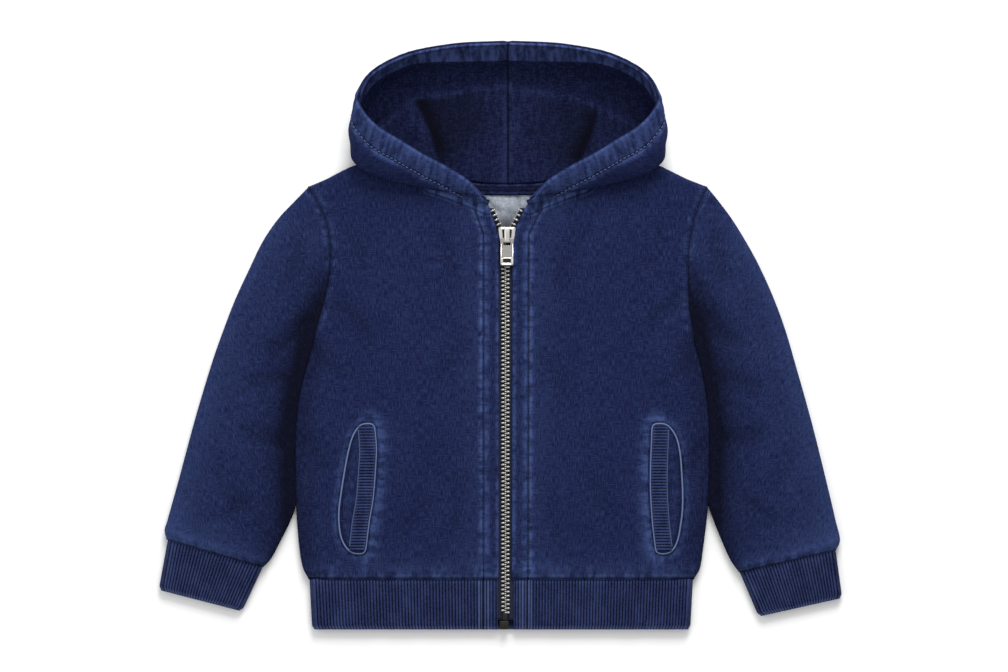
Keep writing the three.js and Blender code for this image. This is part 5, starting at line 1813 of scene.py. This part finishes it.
@dataclass
class Pockets:
    """Two curved pockets, each a facing, a ribbed welt and a line of piping round them."""

    fleece: bpy.types.Material
    rib: bpy.types.Material
    piping: bpy.types.Material
    fine_piping: bpy.types.Material
    ribs: int = 42
    welt_cloth: float = 1.2
    rib_height: float = 0.9
    piping_radius: float = 0.70

    def facing(self, side: Side) -> bpy.types.Object:
        """Makes one facing.

        Args:
            side: Which pocket.

        Returns:
            The facing.
        """
        table = POCKET_FACING[side]
        y = np.linspace(table[0, 0], table[-1, 0], 60)[:, None]
        low, high = (smooth_read(table[:, 0], table[:, column], y) for column in (1, 2))
        share = np.linspace(0, 1, 24)[None, :]
        x = mix(low, high, share)
        base = LAID_HEIGHT + SEAM_GAP
        outer_share = share if side is Side.LEFT else 1 - share
        edge = np.minimum(outer_share * np.abs(high - low), REACH)
        z = base + TAPE_CLOTH + 0.25 * puckers(y, 13.0, side.column) * np.sin(math.pi * share)
        z = z - 0.7 * hill(edge, 1.5)
        outer = np.stack([x, y + 0 * x, z + 0 * x], axis=2)
        inner = np.stack([x, y + 0 * x, base + 0 * x], axis=2)
        # Painted shade over the sunken facing, deeper towards its edges.
        marks = {"wear_and_highlight": 0.18 * hill(edge - 6, 4), "dark": np.clip(0.45 * hill(edge, 3.0) + 0.12, 0, 1) + 0 * x}
        return Cloth(f"pocket_facing_{side.value}_cloth", outer, inner, False, marks).build(self.fleece)

    def welt(self, side: Side) -> bpy.types.Object:
        """Makes one ribbed welt.

        Args:
            side: Which pocket.

        Returns:
            The welt.
        """
        table = POCKET_WELT[side]
        y = np.linspace(table[0, 0], table[-1, 0], self.ribs * 8 + 1)[:, None]
        share = np.linspace(-0.5, 0.5, 17)[None, :]
        x = smooth_read(table[:, 0], table[:, 1], y) + share * WELT_WIDTH
        base = LAID_HEIGHT + 2 * SEAM_GAP + TAPE_CLOTH
        crest = np.abs(np.sin(math.pi * np.linspace(0, self.ribs, len(y))))[:, None] ** 0.7
        round_edge = np.sqrt(np.maximum(0, 1 - (np.abs(share) * 2) ** 4))
        z = base + 0.25 + (self.welt_cloth - 0.25) * round_edge + self.rib_height * crest * round_edge
        outer = np.stack([x, y + 0 * x, z], axis=2)
        inner = np.stack([x, y + 0 * x, base + 0 * x], axis=2)
        uneven = 0.5 + 0.5 * puckers(y, 9.0, 2.0 + side.column)
        marks = {"crest": crest + 0 * share, "wear_and_highlight": 0.35 * hill(np.abs(share) - 0.5, 0.09) + 0.14 * uneven}
        return Cloth(f"pocket_welt_{side.value}_rib", outer, inner, False, marks, True).build(self.rib)

    def pipe(self, side: Side, outline: np.ndarray) -> list[bpy.types.Object]:
        """Makes the piping round one pocket, and the turned edge between facing and welt.

        Args:
            side: Which pocket.
            outline: Points of the piping's line.

        Returns:
            The piping and the turned edge.
        """
        points = np.column_stack([outline[:-1], np.full(len(outline) - 1, LAID_HEIGHT + 0.85)])
        table = POCKET_WELT[side]
        y = np.linspace(table[0, 0] - 3, table[-1, 0] + 3, 60)
        x = smooth_read(table[:, 0], table[:, 1], y) + side.sign * (WELT_WIDTH / 2 + 0.4)
        edge = np.column_stack([x, y, np.full(60, LAID_HEIGHT + SEAM_GAP + TAPE_CLOTH + 0.2)])
        return [
            tube(f"pocket_piping_{side.value}", points, self.piping_radius, 8, self.piping, closed=True),
            tube(f"pocket_edge_{side.value}", edge, 0.5, 8, self.fine_piping),
        ]


@dataclass
class Zip:
    """The metal zip: tapes, teeth, bottom stop, slider and pull tab."""

    nickel: bpy.types.Material
    # rougher nickel darkened with painted shade, for the teeth, the slider's body and the tab's plate
    shaded_matt: bpy.types.Material
    # near-black nickel for the bottom stop, and painted shade in the slider's grooves and the tab's window
    dark: bpy.types.Material
    tape: bpy.types.Material
    tooth_pitch: float = 3.55
    tooth_x: float = 2.2
    chain_x: float = 0.4
    tooth_z: float = 7.45
    chain_start: float = -180.6
    chain_end: float = 137.6
    slider_x: float = 1.7
    tape_width: float = 13.0
    tape_top: float = 5.8

    def teeth(self) -> list[bpy.types.Object]:
        """Makes the closed chain and the parted rows above the slider.

        Returns:
            The chain, then the left and the right row.
        """
        tooth = Repeat("zip teeth", self.tooth_pitch, (3.6, 1.75, 2.1), (2.2, 1.2, 1.5), 2.0)
        low = self.chain_start
        first, second = self.chain_x - self.tooth_x, self.chain_x + self.tooth_x
        left = np.array([[first, low, self.tooth_z], [first, self.chain_end, self.tooth_z]])
        right = np.array([[second, self.chain_end - self.tooth_pitch / 2, self.tooth_z],
                          [second, low - self.tooth_pitch / 2, self.tooth_z]])
        chain = tooth.build([left, right], self.shaded_matt)
        chain.name = "zip_chain_teeth"
        rows = []
        for side in Side:
            y = np.linspace(150.8, 162.6, 4)
            x = side.sign * (np.interp(y, TAPE_EDGE[:, 0], TAPE_EDGE[:, side.column]) + 1.9)
            line = np.column_stack([x, y, np.full(4, self.tooth_z)])
            row = tooth.build([line if side is Side.LEFT else line[::-1]], self.shaded_matt)
            row.name = f"zip_teeth_{side.value}"
            rows.append(row)
        return [chain, *rows]

    def tape_of(self, side: Side) -> bpy.types.Object:
        """Makes one tape.

        Args:
            side: Which tape.

        Returns:
            The tape.
        """
        y = stepped((334, 3.0), (354, 1.0))[:, None] + TAPE_EDGE[0, 0]
        inner_x = np.interp(y, TAPE_EDGE[:, 0], TAPE_EDGE[:, side.column])
        share = np.linspace(0, 1, 8)[None, :]
        x = side.sign * (inner_x + share * self.tape_width)
        top = np.stack([x, y + 0 * x, self.tape_top + 0.08 * puckers(y, 5.0, 1.0) + 0 * x], axis=2)
        under = top - np.array([0, 0, TAPE_CLOTH])
        return Cloth(f"zip_tape_{side.value}_cloth", top, under).build(self.tape)

    def stops(self) -> list[bpy.types.Object]:
        """Makes the pin and the box at the bottom.

        Returns:
            The box and the pin.
        """
        corners = [(-4.6, -196.9), (3.4, -196.9), (3.4, -189.6), (-4.6, -189.6)]
        box = slab("zip_bottom_box", rounded_outline(corners, 1.0), 4.9, 3.4, 0.35, 0.6, self.dark)
        pin = slab("zip_bottom_pin", rounded_outline([(-1.9, -189.2), (2.3, -189.2), (2.3, -182.4),
                                                      (-1.9, -182.4)],
                                                     0.6), 6.2, 2.0, 0.2, 0.5, self.dark)
        return [box, pin]

    def rounded_copy(self, node: str, name: str, bevel: float) -> bpy.types.Object:
        """Copy of a CAD node with its edges rounded.

        Args:
            node: The node.
            name: The copy's name.
            bevel: Radius of the edges, in millimetres.

        Returns:
            The copy.
        """
        mesh = bpy.data.objects[node].data.copy()
        mesh.name = name
        piece = piece_of(name, mesh, self.shaded_matt)
        weld = piece.modifiers.new("weld", "WELD")
        weld.merge_threshold = 0.00001
        flat = piece.modifiers.new("flat", "DECIMATE")
        flat.decimate_type = "DISSOLVE"
        flat.angle_limit = math.radians(3)
        edge = piece.modifiers.new("edge", "BEVEL")
        edge.width = bevel * MM
        edge.segments = 3
        edge.limit_method = "ANGLE"
        edge.angle_limit = math.radians(35)
        edge.harden_normals = True
        seen = piece.evaluated_get(bpy.context.evaluated_depsgraph_get())
        made = bpy.data.meshes.new_from_object(seen)
        piece.modifiers.clear()
        piece.data = made
        made.name = name
        return piece

    def slider(self) -> list[bpy.types.Object]:
        """Makes the slider with a crowned body under its bail; its grooves are dark sheets of painted shade.

        Returns:
            The body, then its finer forms.
        """
        body = self.rounded_copy("zip_slider", "zip_slider_metal", 0.42)
        outline = [(-5.0, 135.6), (5.0, 135.6), (6.9, 141.5), (6.9, 148.3), (-6.9, 148.3), (-6.9, 141.5)]
        crown = slab("zip_slider_crown", rounded_outline([(x + self.slider_x, y) for x, y in outline], 1.8),
                     9.8, 0.5, 0.9, 0.4, self.nickel)
        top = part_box("zip_slider")[1][2] / MM
        bail = [(self.slider_x + x, y) for x, y in ((-1.9, 136.0), (1.9, 136.0), (2.1, 147.4), (-2.1, 147.4))]
        ridge = slab("zip_slider_bail_ridge", rounded_outline(bail, 0.9), top - 0.2, 0.45, 0.5, 0.3,
                     self.nickel)
        pieces = [body, crown, ridge]
        # Painted shade: dark sheets in the grooves either side of the bail.
        for name, sign in (("left", -1), ("right", 1)):
            groove = [(self.slider_x + sign * x, y) for x,
                      y in ((2.3, 137.5), (3.5, 137.5), (4.3, 146.6), (2.3, 146.6))]
            pieces.append(slab(f"zip_slider_groove_{name}", rounded_outline(groove[::sign], 0.5), 10.35, 0.85,
                               0.0, 0.1,
                               self.dark))
        return pieces

    def tab(self) -> list[bpy.types.Object]:
        """Makes the pull tab: a plate with a raised rim, and a dark sheet of painted shade in the window at its
        end.

        Returns:
            The plate, then its trims.
        """
        plate = self.rounded_copy("zip_pull_tab", "pull_tab_plate", 0.40)
        lower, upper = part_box("zip_pull_tab")
        left, right = lower[0] / MM, upper[0] / MM
        end, top = lower[1] / MM, upper[2] / MM
        rim = rounded_outline([(right - 0.8, end + 0.8), (left + 0.8, end + 0.8), (left + 0.8, end + 18.6),
                               (right - 0.8, end + 18.6)], 1.5)[:-12]
        rim = np.vstack([[right - 0.8, end + 18.6], rim, [left + 0.8, end + 18.6]])
        window = rounded_outline([(left + 1.9, end + 1.8), (right - 1.9, end + 1.8),
                                  (right - 1.9, end + 6.2), (left + 1.9, end + 6.2)], 0.9)
        pieces = [plate]
        for name, outline, radius in (("pull_tab_rim", rim, 0.78), ("pull_tab_window_frame", window, 0.50)):
            path = np.column_stack([outline, np.full(len(outline), top + 0.05)])
            pieces.append(tube(name, path, radius, 10, self.nickel, closed=outline is window))
        # Painted shade: a dark sheet in the tab's window.
        pieces.append(slab("pull_tab_window_shade", window, top - 0.15, 0.32, 0.0, 0.1, self.dark))
        return pieces


def rounded_outline(corners: Sequence[tuple[float, float]], radius: float, steps: int = 6) -> np.ndarray:
    """Closed outline with rounded corners, as points [x, y].

    Args:
        corners: Corners in turn.
        radius: Radius of the corners.
        steps: Points in each corner.

    Returns:
        The points in turn.
    """
    points = []
    count = len(corners)
    for k, corner in enumerate(corners):
        here = np.array(corner, float)
        before, after = np.array(corners[k - 1], float), np.array(corners[(k + 1) % count], float)
        start = here + (before - here) / np.linalg.norm(before - here) * radius
        end = here + (after - here) / np.linalg.norm(after - here) * radius
        for t in np.linspace(0, 1, steps):
            points.append((1 - t) ** 2 * start + 2 * t * (1 - t) * here + t**2 * end)
    return np.array(points)


@dataclass
class Stitching:
    """Stitches along the seams."""

    thread: float = 0.5
    pitch: float = 3.0

    def along(self, name: str, paths: Sequence[np.ndarray], material: bpy.types.Material) -> bpy.types.Object:
        """Makes the stitches along some lines."""
        stitch = Repeat(name, self.pitch, (self.thread, 0.72 * self.pitch, self.thread * 0.8), lean=0.06)
        return stitch.build(paths, material)


@dataclass
class Studio:
    """Plain pale floor, soft light and the camera straight above."""

    frame_width: float = 1008 * 0.86 * MM
    sensor: float = 36.0
    camera_height: float = 5.0
    centre: tuple[float, float] = (-0.86 * MM, 55.04 * MM)
    floor_size: float = 6.0
    sky: float = 0.70
    key: float = 50.0
    side_light: float = 6.0

    def build(self, floor_finish: bpy.types.Material) -> None:
        """Makes the floor, the lights and the camera.

        Args:
            floor_finish: Finish of the floor.
        """
        scene = bpy.context.scene
        scene.view_settings.view_transform = "Standard"
        half = self.floor_size / 2
        corners = np.array([[-half, -half, 0], [half, -half, 0], [half, half, 0], [-half, half, 0]])
        floor = piece_of("floor", mesh_of("floor", corners - [0, 0, 0.2 * MM], np.array([[0, 1, 2, 3]])),
                         floor_finish)
        world = bpy.data.worlds.new("studio")
        world.use_nodes = True
        background = world.node_tree.nodes["Background"]
        background.inputs["Color"].default_value = (1.0, 1.0, 1.0, 1.0)
        background.inputs["Strength"].default_value = self.sky
        scene.world = world
        lights = [self.light("soft key", (0.25, 1.85, 1.20), 1.1, self.key),
                  self.light("side fill", (-1.7, 0.5, 1.3), 1.2, self.side_light)]
        camera = bpy.data.cameras.new("camera")
        camera.sensor_width = self.sensor
        camera.lens = self.sensor * self.camera_height / self.frame_width
        camera.clip_end = 50.0
        eye = bpy.data.objects.new("camera", camera)
        eye.location = (*self.centre, self.camera_height)
        scene.collection.objects.link(eye)
        scene.camera = eye

    def light(self, name: str, place: tuple[float, float, float], size: float,
              power: float) -> bpy.types.Object:
        """Makes one soft light aimed at the garment.

        Args:
            name: Name of the light.
            place: Where it stands, in metres.
            size: Width of its face.
            power: Its power in watts.

        Returns:
            The light.
        """
        lamp = bpy.data.lights.new(name, "AREA")
        lamp.size = size
        lamp.energy = power
        made = bpy.data.objects.new(name, lamp)
        made.location = place
        aim = -np.array(place) + np.array([0, 0.05, 0])
        away = math.atan2(math.hypot(aim[0], aim[1]), -aim[2])
        made.rotation_euler = (away, 0, math.atan2(aim[1], aim[0]) - math.pi / 2)
        bpy.context.scene.collection.objects.link(made)
        return made


FRONT_CREASES = {
    Side.LEFT: [
        Crease((-152, 86), (-112, 44), 0.9, 8, 6), Crease((-166, 44), (-128, 22), 0.7, 7, -4),
        Crease((-60, 150), (-42, 92), 0.6, 10, 5), Crease((-176, -30), (-150, -66), 0.6, 8, 4),
        Crease((-92, -118), (-70, -70), 0.5, 9, -5), Crease((-34, 60), (-58, 12), 0.5, 11, 4),
        Crease((-128, 150), (-118, 112), 0.7, 9, -3), Crease((-36, -60), (-48, -120), 0.5, 8, 3),
    ],
    Side.RIGHT: [
        Crease((157, 92), (120, 52), 0.9, 8, -6), Crease((162, 38), (126, 12), 0.6, 7, 4),
        Crease((66, 146), (46, 84), 0.6, 10, -5), Crease((172, -36), (150, -74), 0.7, 8, -4),
        Crease((96, -112), (76, -58), 0.5, 9, 5), Crease((38, 44), (60, -6), 0.5, 11, -4),
        Crease((134, 154), (124, 110), 0.6, 9, 3), Crease((34, -66), (52, -126), 0.5, 8, -3),
    ],
}
BACK_CREASES = [
    Crease((-24, 174), (-4, 160), 1.1, 1.6, 2), Crease((4, 180), (22, 171), 1.0, 1.5, -2),
    Crease((-14, 165), (14, 158), 1.0, 1.5, 1), Crease((12, 168), (22, 152), 0.8, 1.6, 1),
    Crease((-20, 168), (-10, 150), 0.8, 1.7, -1), Crease((-8, 179), (8, 172), 0.8, 1.4, 1),
]
SLEEVE_CREASES = {
    Side.LEFT: [
        Crease((-172, 74), (-206, 40), 1.0, 8, 5), Crease((-186, 20), (-226, 8), 0.8, 8, -4),
        Crease((-184, -34), (-232, -20), 0.8, 9, 5), Crease((-250, -50), (-222, -96), 0.6, 9, -4),
        Crease((-176, 140), (-190, 96), 0.8, 9, 4), Crease((-214, -80), (-262, -104), 0.6, 7, 3),
    ],
    Side.RIGHT: [
        Crease((176, 82), (206, 46), 1.0, 8, -5), Crease((184, 24), (224, 2), 0.8, 8, 4),
        Crease((182, -28), (226, -24), 0.8, 9, -5), Crease((244, -44), (216, -92), 0.6, 9, 4),
        Crease((182, 146), (194, 100), 0.8, 9, -4), Crease((206, -84), (254, -110), 0.6, 7, -3),
    ],
}
HOOD_CREASES = {
    Side.LEFT: [
        Crease((-82, 266), (-56, 200), 1.7, 6.5, 3, 44), Crease((-98, 240), (-70, 216), 1.2, 7, -3),
        Crease((-34, 268), (-26, 226), 1.0, 8, 2), Crease((-66, 268), (-30, 270), 1.2, 6, -2),
    ],
    Side.RIGHT: [
        Crease((62, 200), (82, 258), 1.4, 6.5, -3, 34), Crease((70, 214), (98, 236), 1.0, 7, 3),
        Crease((32, 226), (36, 264), 0.9, 8, -2), Crease((30, 268), (66, 266), 1.2, 6, 2),
    ],
}

HOODIE = "hoodie"
PULL_TAB = "pull_tab"


@dataclass
class Dresser:
    """Sets pieces in the frame, hides the solids they stand for and logs each one."""

    floor: str = "floor"

    def place(self, piece: bpy.types.Object, slot: str, replaced: Sequence[str] = (),
              body: str = HOODIE) -> None:
        """Rides a piece on its body and hides the solids it stands for.

        Args:
            piece: The piece.
            slot: Its slot, which is not used.
            replaced: Nodes that it stands for.
            body: Body that it rides on.
        """
        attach(piece, body)
        if replaced:
            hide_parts(*replaced)
        lowest = min(corner[2] for corner in piece.bound_box) / MM
        log.info("%s: %d faces, from %.2f mm up", piece.name, len(piece.data.polygons), lowest)


def dress_body(dresser: Dresser, finishes: dict[str, bpy.types.Material]) -> None:
    """Makes the back, the fronts, the neck tape and the pockets.

    Args:
        dresser: Sets the pieces in the frame.
        finishes: The finishes by name.
    """
    body = Body(finishes["fleece"])
    stitching = Stitching()
    back = body.back(BACK_CREASES)
    dresser.place(back, "indigo_fleece", ["back"])
    tape = NeckTape(finishes["jersey"]).build()
    dresser.place(tape, "indigo_jersey", ["neck_tape"])
    pockets = Pockets(finishes["fleece"], finishes["rib"], finishes["piping"], finishes["pale thread"])
    for side in Side:
        name = side.value
        front = body.front(side, FRONT_CREASES[side])
        dresser.place(front, "indigo_fleece", [f"front_{name}"])
        facing, welt = pockets.facing(side), pockets.welt(side)
        pipes = pockets.pipe(side, body.pocket_outline(side))
        dresser.place(facing, "indigo_fleece", [f"pocket_facing_{name}"])
        dresser.place(welt, "indigo_rib", [f"pocket_welt_{name}"])
        for pipe in pipes:
            dresser.place(pipe, "indigo_fleece")
        stitches = stitching.along(f"placket_stitches_{name}", body.stitch_lines["placket"][-1:],
                                   finishes["dark thread"])
        dresser.place(stitches, "indigo_fleece")


def dress_sleeves(dresser: Dresser, finishes: dict[str, bpy.types.Material]) -> None:
    """Makes the sleeves, the cuffs and the hem rib.

    Args:
        dresser: Sets the pieces in the frame.
        finishes: The finishes by name.
    """
    ribbing = Ribbing(finishes["rib"])
    for side in Side:
        sleeve = Sleeve(side, finishes["fleece"]).build(SLEEVE_CREASES[side])
        dresser.place(sleeve, "indigo_fleece", [f"sleeve_{side.value}"])
        cuff = ribbing.cuff(side)
        dresser.place(cuff, "indigo_rib", [f"cuff_{side.value}"])
    band = ribbing.band()
    dresser.place(band, "indigo_rib", ["waistband"])


def dress_hood(dresser: Dresser, finishes: dict[str, bpy.types.Material]) -> None:
    """Makes the hood and its lining.

    Args:
        dresser: Sets the pieces in the frame.
        finishes: The finishes by name.
    """
    hood = Hood(finishes["fleece"], finishes["jersey"])
    pieces = hood.build(HOOD_CREASES)
    stitching = Stitching(0.95, 3.9)
    for k, side in enumerate(Side):
        outer, lining = pieces[2 * k], pieces[2 * k + 1]
        dresser.place(outer, "indigo_fleece", [f"hood_{side.value}"])
        dresser.place(lining, "indigo_jersey", [f"hood_lining_{side.value}"])
        stitches = stitching.along(f"hood_band_stitches_{side.value}", [hood.lines["band"][k]],
                                   finishes["pale thread"])
        dresser.place(stitches, "indigo_fleece")


def dress_zip(dresser: Dresser, finishes: dict[str, bpy.types.Material]) -> None:
    """Makes the zip.

    Args:
        dresser: Sets the pieces in the frame.
        finishes: The finishes by name.
    """
    zipper = Zip(finishes["nickel"], finishes["matt nickel"], finishes["dark nickel and painted shade"], finishes["navy tape"])
    for side in Side:
        tape = zipper.tape_of(side)
        dresser.place(tape, "navy_tape", [f"zip_tape_{side.value}"])
    chain, left, right = zipper.teeth()
    dresser.place(chain, "nickel", ["zip_chain"])
    dresser.place(left, "nickel", ["zip_row_left"])
    dresser.place(right, "nickel", ["zip_row_right"])
    box, pin = zipper.stops()
    dresser.place(box, "nickel", ["zip_box"])
    dresser.place(pin, "nickel")
    body, *additions = zipper.slider()
    dresser.place(body, "nickel", ["zip_slider"])
    for addition in additions:
        dresser.place(addition, "nickel")
    plate, *trims = zipper.tab()
    dresser.place(plate, "nickel", ["zip_pull_tab"], PULL_TAB)
    for trim in trims:
        dresser.place(trim, "nickel", (), PULL_TAB)


def main() -> None:
    """Builds the hoodie round its frame."""
    logging.basicConfig(level=logging.INFO, format="%(name)s: %(message)s")
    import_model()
    finishes = {
        "fleece": Fleece().build(), "rib": Rib().build(), "jersey": Jersey().build(),
        "nickel": NICKEL.build(), "matt nickel": SHADED_MATT_NICKEL.build(),
        "dark nickel and painted shade": DARK_NICKEL_AND_SHADE.build(), "navy tape": NAVY_TAPE.build(),
        "dark thread": DARK_THREAD.build(), "pale thread": PALE_THREAD.build(), "piping": PIPING.build(),
    }
    dresser = Dresser()
    Studio().build(FLOOR.build())
    dress_body(dresser, finishes)
    dress_sleeves(dresser, finishes)
    dress_hood(dresser, finishes)
    dress_zip(dresser, finishes)


if __name__ == "__main__":
    main()
